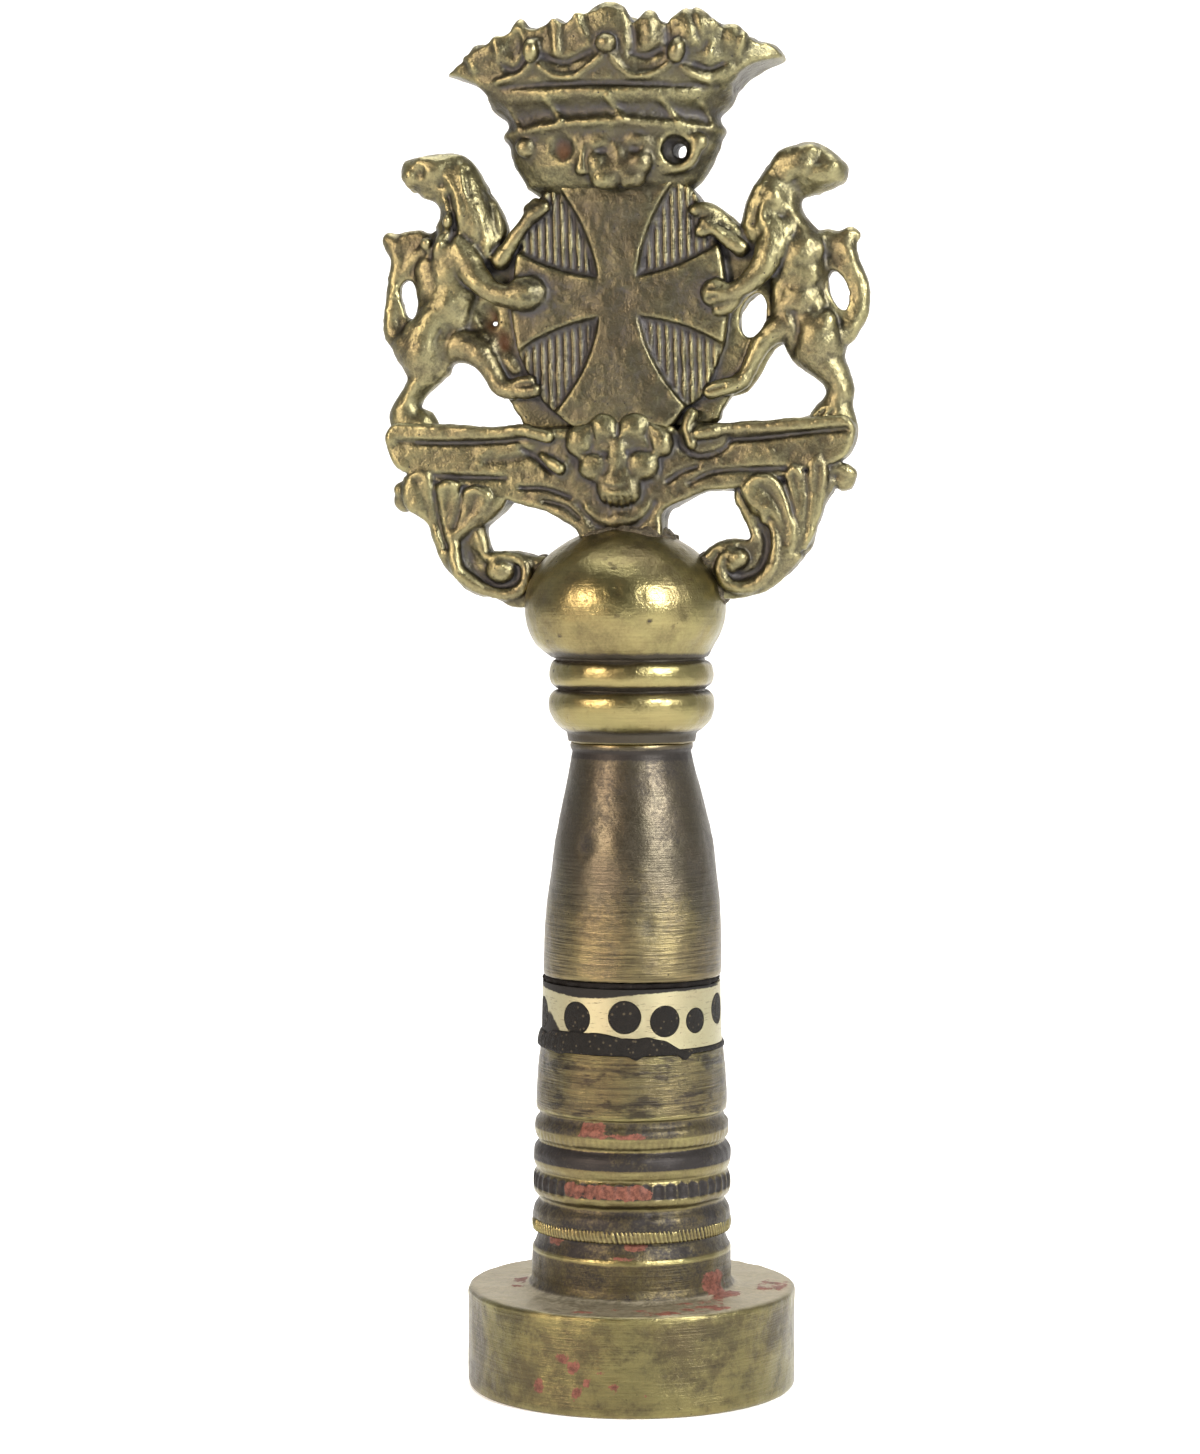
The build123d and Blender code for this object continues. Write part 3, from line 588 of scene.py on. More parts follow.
leftLion = {
    "outline": [
        (-14.6, 81.7), (-14.3, 82.45), (-13, 82.75), (-11.2, 82.95), (-10.1, 82.65), (-9.2, 81.6),
        (-8.4, 80.1), (-7.7, 78.8), (-7.4, 77.7), (-7.7, 76.5), (-8.6, 75.4), (-9.6, 74.6), (-9.9, 73.5),
        (-9.9, 72.3), (-10.2, 71.2), (-10.7, 70.1), (-11.3, 69.1), (-11.6, 68.5), (-11.85, 68.1),
        (-12.55, 67.5), (-13.45, 66.75), (-13.75, 66.05), (-13, 65.7), (-12.5, 64.9), (-12.5, 63.7),
        (-14.1, 63.5), (-15.6, 63.7), (-15.85, 65.2), (-15.75, 66.1), (-15.1, 67), (-14.6, 67.9),
        (-14.75, 68.5), (-15.4, 69.6), (-15.45, 70.7), (-14.6, 71.6), (-13.9, 72.3), (-13.6, 73.2),
        (-13.7, 74.3), (-13.8, 75.3), (-13.4, 76.2), (-12.9, 77), (-12.4, 78), (-12.05, 78.9), (-12.3, 79.6),
        (-13.4, 80.1), (-14.3, 80.9),
    ],
    "web": [
        (-12.9, 77.55), (-15.4, 77.35), (-15.3, 75.6), (-15.6, 74), (-15.8, 72.4), (-15.7, 71),
        (-14.8, 70.2), (-13.4, 70), (-12.9, 73),
    ],
    "hole": ((-14.2, 73.2), (0.57, 1.32), 4),
    "masses": [
        ((-9.9, 79.2, 0.85), (1.35, 3, 1.05), 21), ((-12.3, 81.8, 0.75), (1.6, 1, 0.95), 6),
        ((-13.75, 81.3, 0.7), (0.9, 0.9, 0.85), 0), ((-11.4, 75.5, 0.8), (1.4, 2.3, 1.05), 0),
        ((-11.7, 72.8, 0.75), (1.25, 1.7, 1), -27), ((-13.4, 70.1, 0.8), (1.3, 1.9, 1.05), -14),
        ((-11.1, 78.2, 1.65), (0.42, 0.42, 0.4), 0), ((-12.8, 76.9, 1.2), (0.4, 0.42, 0.4), 0),
        ((-11.9, 76.6, 1.5), (0.4, 0.7, 0.4), 0), ((-13.95, 71.2, 1), (0.55, 0.6, 0.4), 0),
        ((-10.5, 73.7, 0.6), (0.95, 1.7, 0.95), 0), ((-12.7, 82.2, 1.2), (0.7, 0.4, 0.4), 0),
        ((-6, 73.25, 1.7), (1.3, 1.2, 0.88), 0), ((-12.6, 71.7, 0.85), (1, 1.5, 1), -25),
    ],
    "limbs": [
        ([(-14.6, 70.2, 0, 0.8, 1), (-15.3, 70.9, 0, 0.75, 1), (-15.5, 71.9, 0, 0.66, 1.1),
          (-15.4, 73.3, 0, 0.56, 1.2), (-15.2, 74.7, 0, 0.52, 1.2), (-14.95, 75.9, 0, 0.52, 1.1),
          (-15.2, 76.95, 0, 0.64, 1), (-15.6, 77.35, 0, 0.56, 1)], 0.25),
        ([(-12.9, 76.9, 0, 0.8, 0.8), (-14, 77, 0, 0.8, 0.7), (-15.1, 76.95, 0, 0.7, 0.8)], 0.3),
        ([(-12.8, 76.7, 0.6, 0.4), (-13.7, 76.1, 0.4, 0.36), (-14.5, 75.2, 0.2, 0.4)], 0.25),
        ([(-11.6, 70.2, 0.3, 1.25, 0.9), (-10.3, 70, 0.5, 1.12, 0.85), (-9.2, 69.25, 0.7, 0.92, 0.9),
          (-8.6, 68.25, 0.8, 0.76, 0.9), (-8, 67.3, 0.9, 0.66, 0.95), (-7.2, 66.85, 1, 0.56, 1)], 0.2),
        ([(-9.2, 70.6, 0.2, 0.6), (-8.1, 69.4, 0.3, 0.55), (-7, 68.4, 0.4, 0.5)], 0.3),
        ([(-7.2, 67.2, 1, 0.5), (-6.5, 67.45, 1.2, 0.46), (-5.9, 67.55, 1.3, 0.44)], 0.15),
        ([(-7.2, 66.9, 1, 0.5), (-6.4, 66.85, 1.2, 0.5), (-5.7, 66.9, 1.3, 0.5)], 0.12),
        ([(-10.6, 76.3, 0.9, 1.2, 0.85), (-10, 75.5, 1.3, 1.05, 0.85), (-9.3, 74.5, 1.55, 0.9, 0.9),
          (-8.3, 73.55, 1.7, 0.78, 0.95), (-7.1, 73.15, 1.75, 0.76, 0.95), (-6, 73.3, 1.75, 1, 0.72),
          (-5.5, 73.45, 1.7, 0.98, 0.7)], 0.22),
        ([(-7.8, 75.6, 0.9, 0.62), (-6.9, 76.75, 1.1, 0.55), (-6.15, 77.7, 1.25, 0.5),
          (-5.35, 78.5, 1.35, 0.58), (-4.7, 78.95, 1.4, 0.5)], 0.14),
        ([(-5.7, 78.85, 1.2, 0.4), (-5.1, 79.2, 1.3, 0.4)], 0.14),
    ],
    "locks": [
        (0.24, 0.14, [[(-10.2, 82), (-10, 80.4), (-9.3, 79), (-8.7, 77.1), (-8.6, 75.8)]]),
        (0.28, 0.12, [[(-11.2, 81.2), (-10.5, 79.9), (-10.3, 78.3), (-10.6, 76.7)]]),
        (0.26, 0.1, [[(-11.6, 80.3), (-11.2, 78.3), (-11.6, 76.9)]]),
    ],
    "creases": [
        (0.16, -0.15, [[(-9.9, 81.6), (-9.65, 80), (-9.1, 78.4), (-8.9, 77)]]),
        (0.2, -0.14, [[(-8.7, 80.2), (-8.2, 78.7), (-8, 77.3)]]),
        (0.18, -0.18, [[(-11.1, 80), (-10.75, 78.4), (-11.1, 76.9)]]),
        (0.2, -0.2, [[(-12.2, 77.8), (-12.25, 76.9), (-12.5, 75.9)]]),
        (0.34, -0.2, [[(-14.3, 81), (-13.3, 80.6), (-12.3, 80.2)]]),
        (0.32, -0.18, [[(-11.2, 71.2), (-11.7, 70), (-12.1, 68.9), (-12.5, 68)]]),
        (0.12, -0.12, [[(-5.9, 74.1), (-5.2, 73.9)], [(-5.9, 73), (-5.2, 72.9)]]),
    ],
    "eye": ((-13.1, 81.5, 1.75), (0.5, 0.6, 0.4)),
}

lionForm = {
    "webHalf": 0.55,
    "webEdge": 0.3,
    "half": 1.3,
    "edge": 1.1,
    "thinBelow": (67.5, 2, 0.25),    # height, over how much, by how much
    "front": 0.3,
}


def crossInside(x, z):
    # arms that widen towards the shield's edge with hollow sides
    half, curve, most = shield["armHalf"], shield["armCurve"], shield["armMost"]
    down = shield["crossAt"] - z
    (topReach, topHalf), (lowReach, lowHalf), (sideReach, sideGain) = shield["arms"]
    reach = np.where(down > 0, down / lowReach, -down / topReach)
    wide = np.where(down > 0, lowHalf, topHalf)
    upright = half + (wide - half) * np.clip(reach, 0, most) ** curve - np.abs(x)
    across = half + sideGain * np.clip(np.abs(x) / sideReach, 0, most) ** curve - np.abs(down)
    return np.maximum(upright, across)


def shieldHeight(x, z):
    x = x - shield["aside"]
    inside = crossInside(x, z)
    rise = shield["crossRise"] * np.clip(0.5 + inside / shield["crossEdge"], 0, 1)
    quarter = np.clip(-inside / 0.2 - 0.7, 0, 1)    # 1 in the hatched quarters
    ribs = shield["hatchDepth"] * (0.5 - 0.5 * np.cos(2 * math.pi * x / shield["hatch"]))
    bow = shield["belly"] * (1 - (x / shield["bellyReach"]) ** 2)
    return shield["half"] + bow + rise - ribs * quarter


def lionHeight(x, z):
    begin, over, thin = lionForm["thinBelow"]
    return lionForm["half"] - thin * np.clip((begin - z) / over, 0, 1) + 0 * x


def sculptLion(clay, lion):
    slab(clay, closedLoop(lion["web"]), level(lionForm["webHalf"]), lionForm["webEdge"])
    slab(clay, closedLoop(lion["outline"]), lionHeight, lionForm["edge"], 0.25)
    for place, radii, tilt in lion["masses"]:
        blob(clay, place, radii, tilt, 0.3)
    for knots, blend in lion["limbs"]:
        limb(clay, knots, blend)
    blob(clay, *lion["eye"], 0, 0.2, True)
    strokes(clay, lion["locks"] + lion["creases"], lionForm["front"])
    pierce(clay, *lion["hole"])


def sculptShield():
    clay = newClay(*shield["clay"], crest["voxel"])
    slab(clay, wholeLoop(shield["web"], shield["web"]), level(shield["webHalf"]), shield["webEdge"])
    outline = wholeLoop(shield["outline"], shield["outline"]) + (shield["aside"], 0)
    slab(clay, outline, shieldHeight, shield["edge"], 0.12)
    for lion in (rightLion, leftLion):
        sculptLion(clay, lion)
    pierce(clay, *shield["hole"])
    blob(clay, *shield["recess"], 0.2, True)
    pierce(clay, *shield["pinhole"])
    return clay


print("sculpting the shield and lions")
rng = np.random.default_rng(11)
shieldLions = crestPiece("shield_lions", sculptShield(), rng, ("crest",), shield["rubbed"],
                         shield["rust"])


# ribbon, lower mask and leaf scrolls

ribbon = {
    "right": [
        (0, 64.2), (4.5, 64.3), (9.5, 64.42), (13.8, 64.6), (15.2, 64.6), (15.75, 63.7), (15.4, 62.4),
        (14.6, 61.6), (12.6, 61), (10.4, 60.6), (8.9, 60.3), (7.4, 59.95), (5.9, 59.9), (4.4, 59.35),
        (2.95, 58.6), (2.75, 57.6), (2.7, 56.6), (2.4, 55.9), (0, 55.8),
    ],
    "left": [
        (0, 64.2), (4.5, 64.4), (9.5, 64.6), (13.8, 65), (15.4, 65), (16.05, 64.1), (15.8, 62.9),
        (14.9, 61.8), (12.8, 61.1), (10.4, 60.5), (8.9, 60), (7.6, 59.5), (5.2, 58.8), (3.2, 57.7),
        (2.8, 56.9), (2.7, 56.4), (2.4, 55.9), (0, 55.8),
    ],
    "half": 1.3,
    "grooves": [
        (0.19, -0.28, [[(-15.1, 63.8), (-11.3, 63.6), (-7.7, 63.6), (-5.6, 63.9)]]),
        (0.19, -0.26, [[(-12.7, 61.4), (-9.9, 61.2), (-7.8, 61.1)]]),
        (0.19, -0.28, [[(7.5, 63.2), (10.2, 63.3), (13.3, 63.6), (15.2, 63.7)]]),
        (0.19, -0.26, [[(4.7, 60.4), (6.2, 61.1), (8.7, 61.2), (11, 61.2)]]),
        (0.22, -0.28, [[(4, 64.5), (4, 63.1), (5.2, 62.2), (6.8, 62.5), (7.4, 63.2)]]),
        (0.2, -0.26, [[(-6.6, 63), (-5.4, 62.2), (-4.6, 61.5)]]),
        (0.16, -0.26, [[(-6.8, 60.4), (-5, 60.3), (-3.4, 59.7)]]),
        (0.16, -0.24, [[(-5.2, 59.5), (-3.8, 59.1), (-2.8, 58.3)]]),
        (0.18, -0.24, [[(3.2, 60.6), (4.2, 61.2), (5.2, 61.5)]]),
        (0.3, -0.14, [[(-9, 62.3), (-7, 62.4), (-5.6, 62.9)]]),
    ],    # width, height, lines
    "curls": [
        [(-7.4, 64.3, 1.2, 0.3, 1), (-6.2, 64.2, 1.5, 0.45, 1), (-4.8, 63.8, 1.65, 0.48, 0.9)],
        [(-5.2, 62.5, 1.3, 0.3), (-4.6, 62, 1.55, 0.36), (-4, 61.6, 1.65, 0.36)],
        [(7.3, 63.9, 1.25, 0.34), (6.4, 63.85, 1.5, 0.46), (5.4, 63.65, 1.6, 0.38)],
        [(4.9, 65, 1.2, 0.4), (4.6, 64, 1.4, 0.4), (4.9, 63, 1.45, 0.36)],
    ],    # knots
    "clay": (16.6, 4.1, 52, 65.9),    # half width, half depth, bottom, top
    "edge": 0.35, "upperEdge": 63.5,
    "rubbed": ((6, 9), (0, 0.08)),    # distances from the middle, wear
}

# a scroll has a plate, a stem and a neck, a sunk channel, a rim and an eye in its volute, and leaves as
# (outline, height, edge) with rolled lips, sunk veins as (width, height, lines) and a curl
rightScroll = {
    "plate": [
        (13.65, 59.1), (12.85, 57.6), (12.25, 55.95), (11.2, 54.6), (9.85, 53.55), (8.4, 52.9), (7, 52.7),
        (6, 52.9), (5.2, 54.6), (5.6, 55.9), (6.4, 56.4), (7.4, 56.6), (8.45, 56.6), (8.5, 57.2),
        (8.1, 58.2), (7.5, 59.4), (8, 60.4), (9.8, 61.2), (12, 61.4), (13.8, 61.2), (14.3, 60.2),
    ],
    "stem": [
        (11.6, 57.8, 0.5, 1.1, 0.75), (11.3, 56.4, 0.55, 1.05, 0.75), (10.6, 55.2, 0.55, 0.92, 0.8),
        (9.4, 54, 0.55, 0.8, 0.85), (8, 53.5, 0.55, 0.6, 1),
    ],
    "leaves": [
        ([(8.1, 59.7), (8.6, 60.4), (9.5, 60.75), (10.3, 60.65), (10.9, 60.4), (11.15, 60.9), (11.6, 61.4),
          (12.1, 61.2), (12.5, 61.1), (12.7, 61.7), (13.2, 62.05), (13.75, 61.7), (13.9, 60.4),
          (13.55, 59), (13.05, 57.4), (12.45, 56), (11.65, 55), (10.7, 54.5), (10.3, 54.9), (10.5, 56.4),
          (10.3, 57.5), (9.7, 58.2), (8.95, 58.4), (8.4, 59)], 1.3, 0.45),
        ([(8.1, 59.7), (8.6, 60.4), (9.5, 60.75), (10.4, 60.6), (11.1, 59.9), (11.6, 58.5), (12, 57),
          (11.9, 55.6), (10.9, 54.9), (10.3, 54.9), (10.5, 56.4), (10.3, 57.5), (9.7, 58.2), (8.95, 58.4),
          (8.4, 59)], 1.5, 0.5),
    ],
    "lips": [
        [(8.3, 59.9, 1.15, 0.28), (9, 60.5, 1.35, 0.32), (9.9, 60.55, 1.4, 0.32), (10.7, 59.9, 1.3, 0.26)],
        [(11.25, 60.7, 1.2, 0.26), (11.65, 61.15, 1.3, 0.3), (12, 60.8, 1.2, 0.24)],
        [(12.75, 61.3, 1, 0.28), (13.2, 61.7, 1.1, 0.3), (13.6, 61.2, 1, 0.28)],
        [(13.9, 61.1, 0.5, 0.45), (14.7, 61.05, 0.4, 0.45), (15.3, 60.75, 0.3, 0.42)],
        [(9, 58.5, 0.9, 0.3), (9.5, 58.4, 1.1, 0.34), (9.6, 57.9, 1, 0.26)],
    ],
    "veins": [
        (0.26, -0.13, [[(9.5, 60.1), (10.3, 59.3), (10.9, 57.9), (11, 56.4)]]),
        (0.2, -0.18, [[(11, 60.3), (11.5, 58.6), (11.9, 57), (11.6, 55.7)]]),
        (0.2, -0.2, [[(12.45, 61), (12.5, 58.8), (12.3, 57), (11.9, 55.7)]]),
        (0.2, -0.1, [[(13.3, 61.2), (13.15, 59.4), (12.8, 57.4)]]),
        (0.2, -0.08, [[(11.7, 60.6), (12, 59), (12.1, 57.6)]]),
    ],
    "rim": [
        (9.7, 58, 0.8, 0.3), (10.2, 57.3, 0.95, 0.4), (10.35, 56, 1.05, 0.44), (10.05, 54.8, 1.05, 0.46),
        (9.2, 53.85, 1, 0.44), (8.2, 53.4, 0.95, 0.42), (7.1, 53.65, 0.9, 0.42), (6.6, 54.5, 0.9, 0.42),
        (6.7, 55.3, 0.9, 0.4), (7.2, 55.75, 0.9, 0.36),
    ],
    "curl": (14.85, 60.4, 0.15),
    "sunk": -0.28,
    "channel": [(9.2, 57.5), (9.6, 56.4), (9.45, 55.3), (8.9, 54.45), (7.9, 54.2), (7.35, 54.6)],
    "eye": [((7.75, 55.35, 0.8), (0.8, 0.7, 0.75)), ((7.35, 55, 0.8), (0.5, 0.6, 0.6))],
    "neck": [(7.4, 56.2, 0.3, 0.42, 1.6), (6.4, 55.95, 0.3, 0.45, 1.6), (5.4, 55.2, 0.2, 0.5, 1.5)],
}

leftScroll = {
    "plate": [
        (-13.7, 58.6), (-13, 57.2), (-12.1, 55.6), (-11.2, 54.4), (-9.8, 53.5), (-8.1, 52.7), (-7.2, 52.5),
        (-6, 52.9), (-5.2, 54.6), (-5.6, 55.5), (-6.5, 55.95), (-7.6, 56.05), (-9, 56.05), (-9.3, 56.8),
        (-9.5, 57.6), (-9.1, 58.3), (-8, 59.3), (-8.3, 60.4), (-11, 61.2), (-13.5, 61.4), (-14.9, 60),
    ],
    "stem": [
        (-12.4, 57.6, 0.5, 0.8, 0.9), (-12.1, 56.5, 0.5, 0.7, 1), (-11.6, 55.4, 0.5, 0.66, 1),
        (-10.8, 54.4, 0.5, 0.62, 1), (-9.6, 53.7, 0.5, 0.55, 1),
    ],
    "leaves": [
        ([(-14.8, 61), (-14.3, 61.6), (-13.8, 61.8), (-13.2, 61.55), (-12.7, 61.1), (-12.25, 60.9),
          (-11.6, 61), (-11, 60.9), (-10.3, 60.6), (-9.5, 60.6), (-8.85, 60.3), (-8.3, 60.15),
          (-7.7, 59.7), (-8.1, 59), (-9.1, 58.2), (-9.9, 57.8), (-10.9, 57.2), (-11.3, 56.4),
          (-11.8, 55.4), (-12.4, 56), (-12.9, 57.1), (-13.4, 58.1), (-14, 58.6), (-14.65, 59.1),
          (-15, 60)], 1.3, 0.5),
        ([(-12.6, 60.5), (-12.25, 60.85), (-11.6, 60.95), (-11, 60.8), (-10.7, 60.4), (-10.2, 60.5),
          (-9.5, 60.55), (-8.85, 60.2), (-8.9, 59.3), (-9.3, 58.5), (-10.1, 57.9), (-11, 57.1),
          (-11.7, 56.3), (-12.2, 57.2), (-12.5, 58.9)], 1.5, 0.5),
    ],
    "lips": [
        [(-12.4, 60.5, 1.35, 0.26), (-11.7, 60.75, 1.5, 0.3), (-11.05, 60.6, 1.4, 0.26)],
        [(-10.5, 60.25, 1.35, 0.24), (-9.8, 60.35, 1.45, 0.28), (-9.05, 60.1, 1.3, 0.24)],
        [(-14.5, 61.2, 0.9, 0.34), (-13.8, 61.6, 1.1, 0.34), (-13.2, 61.3, 1.15, 0.3),
          (-12.95, 60.6, 1.15, 0.26)],
        [(-14.5, 60.8, 0.6, 0.45), (-15.15, 60.5, 0.45, 0.45)],
    ],
    "veins": [
        (0.2, -0.2, [[(-12.75, 60.9), (-12.65, 59.2), (-12.4, 57.9), (-12, 56.6)]]),
        (0.24, -0.08, [[(-11.7, 60.3), (-11.75, 59), (-11.8, 57.8)]]),
        (0.18, -0.18, [[(-10.8, 60.5), (-10.95, 59.2), (-11.4, 57.9)]]),
        (0.24, -0.1, [[(-9.7, 60), (-10.1, 59.1), (-10.8, 58.1)]]),
        (0.24, -0.09, [[(-13.9, 61.2), (-13.4, 59.6), (-12.9, 58)]]),
    ],
    "rim": [
        (-11.9, 57.2, 0.85, 0.38), (-11.5, 56.8, 1, 0.42), (-11.45, 56, 1.05, 0.46), (-11.2, 55, 1.05, 0.48),
        (-10.4, 54.2, 1.05, 0.48), (-9.4, 53.65, 1, 0.45), (-8.1, 53.35, 0.95, 0.42),
        (-7.1, 53.6, 0.92, 0.42), (-6.6, 54.4, 0.92, 0.4), (-6.7, 55.3, 0.92, 0.4), (-7.3, 55.75, 0.92, 0.4),
        (-8.2, 55.9, 0.92, 0.36), (-9, 55.75, 0.85, 0.32),
    ],
    "curl": (-15.05, 59.85, 0.15),
    "sunk": -0.14,
    "channel": [
        (-10.7, 57.3), (-10.45, 56.3), (-10.3, 55.4), (-9.9, 54.75), (-9.2, 54.25), (-8.4, 54.05),
        (-7.6, 54.3), (-7.3, 54.9), (-7.6, 55.4),
    ],
    "eye": [((-8.35, 54.95, 0.8), (1, 0.88, 0.68)), ((-8.15, 55.25, 1.35), (0.25, 0.25, 0.3))],
    "neck": [
        (-9.95, 57.7, 0.4, 0.45, 1.2), (-9.7, 56.9, 0.5, 0.42, 1.2), (-9.4, 55.9, 0.5, 0.42, 1.3),
        (-8.4, 55.85, 0.5, 0.4, 1.3), (-7.3, 55.8, 0.5, 0.42, 1.3), (-6.3, 55.45, 0.4, 0.42, 1.4),
        (-5.5, 55.5, 0.3, 0.42, 1.5),
    ],
}

scrollForm = {
    "plateHalf": 0.85,
    "plateEdge": 0.35,
    "channelWidth": 0.3,
    "leafRise": (58.5, 2, 0.12),     # height, over how much, by how much
    "curlRadii": (0.72, 0.8, 0.6),
}

lowMask = {
    "outline": [
        (0.2, 64.85), (1.3, 65.1), (2.1, 64.75), (3, 64.15), (3.65, 63.3), (3.4, 62.4), (2.75, 62.15),
        (2.5, 61.5), (1.8, 60.85), (1.25, 60.5), (1.3, 59.6), (0.85, 59.15), (0, 59.05), (-0.9, 59.15),
        (-1.35, 59.6), (-1.35, 60.4), (-2, 60.9), (-2.5, 61.6), (-2.85, 62.3), (-3.35, 63.1), (-3.15, 64.1),
        (-2.4, 64.45), (-1.8, 64.6), (-0.85, 65.15),
    ],
    "half": 2.05,
    "masses": [
        ((-0.88, 64.15, 1.7), (1.08, 0.98, 0.68)), ((1.05, 64.15, 1.7), (1.12, 0.98, 0.7)),
        ((-2.5, 63.4, 1.6), (0.95, 1.05, 0.62)), ((2.95, 63.2, 1.6), (0.8, 0.98, 0.62)),
        ((-0.05, 62.25, 1.78), (0.85, 1.55, 0.52)), ((-1.65, 61.7, 1.65), (1.08, 0.98, 0.62)),
        ((1.6, 61.7, 1.65), (1.12, 1.02, 0.67)), ((-0.05, 60.35, 1.7), (1.48, 1.3, 0.76)),
    ],
    "lines": [
        (0.18, -0.13, [[(-2.3, 62.6), (-1.5, 62.6), (-0.75, 62.45)],
          [(0.7, 62.55), (1.3, 62.75), (1.95, 62.65)]]),
        (0.16, -0.12, [[(-0.75, 60.3), (-0.1, 60.2), (0.6, 60.3)],
          [(-1.75, 64.5), (-1.6, 63.7), (-1.75, 62.9)], [(2.1, 64.4), (2, 63.6), (2.3, 62.7)]]),
        (0.16, -0.15, [[(0.08, 65), (0.08, 64.3), (0.1, 63.7)]]),
        (0.16, -0.08, [[(-0.82, 62.5), (-0.86, 61.8), (-0.95, 61.2)],
          [(0.72, 62.6), (0.74, 61.9), (0.9, 61.2)]]),
    ],
    "fronts": (1.2, 0.8),    # of the lines, of the fold
    "teeth": 5,
    "chin": [
        (-2.2, 58.9, 1.22, 0.28), (-1.2, 58.25, 1.3, 0.3), (-0.2, 58.1, 1.35, 0.3), (0.9, 58.3, 1.3, 0.3),
        (1.9, 59, 1.22, 0.28),
    ],
    "fold": (
        [(-2.9, 59.3), (-2.2, 58.3), (-1.4, 57.6), (-0.3, 57.4), (0.9, 57.6), (1.8, 58.3), (2.4, 59.2)],
        0.22, -0.2,
    ),    # points, width, height
}


def ribbonHeight(x, z):
    upper = 0.2 * np.clip((z - ribbon["upperEdge"]) / 0.3, 0, 1)
    return ribbon["half"] + upper + 0.25 * np.exp(-((x / 5.0) ** 2))


def lowerMask(clay):
    front, chinFront = lowMask["fronts"]
    slab(clay, closedLoop(lowMask["outline"]), level(lowMask["half"]), 0.5, 0.15)
    blobs(clay, lowMask["masses"], 0.3)
    strokes(clay, lowMask["lines"], front)
    for i in range(lowMask["teeth"]):
        stroke(clay, [(-0.85 + 0.42 * i, 59.6), (-0.8 + 0.4 * i, 59.0)], 0.1, -0.12, 2, front)
    limb(clay, lowMask["chin"], 0.35)
    stroke(clay, *lowMask["fold"], 4, chinFront)


def sculptScroll(clay, side):
    slab(clay, closedLoop(side["plate"]), level(scrollForm["plateHalf"]), scrollForm["plateEdge"])
    limb(clay, side["stem"], 0.3)
    limb(clay, side["neck"], 0.2)
    stroke(clay, side["channel"], scrollForm["channelWidth"], side["sunk"], 4, 0.2)
    limb(clay, side["rim"], 0.16)
    blobs(clay, side["eye"], 0.15)


def layLeaves(clay, side):
    begin, over, gain = scrollForm["leafRise"]
    for outline, height, edge in side["leaves"]:
        def leafHeight(x, z):
            return height + gain * np.clip((z - begin) / over, -2, 1) + 0 * x
        slab(clay, closedLoop(outline), leafHeight, edge, 0.12)
    for knots in side["lips"]:
        limb(clay, knots, 0.2)
    blob(clay, side["curl"], scrollForm["curlRadii"], 0, 0.2)
    strokes(clay, side["veins"], 0.3)


def sculptRibbon():
    clay = newClay(*ribbon["clay"], crest["voxel"])
    for side in (rightScroll, leftScroll):
        sculptScroll(clay, side)
    slab(clay, wholeLoop(ribbon["right"], ribbon["left"]), ribbonHeight, ribbon["edge"], 0.15)
    strokes(clay, ribbon["grooves"])
    for knots in ribbon["curls"]:
        limb(clay, knots, 0.12)
    for side in (rightScroll, leftScroll):
        layLeaves(clay, side)
    lowerMask(clay)
    return clay


print("sculpting the ribbon and scrolls")
ribbonScrolls = crestPiece("ribbon_scrolls", sculptRibbon(), rng, (), ribbon["rubbed"])


# crown and upper mask

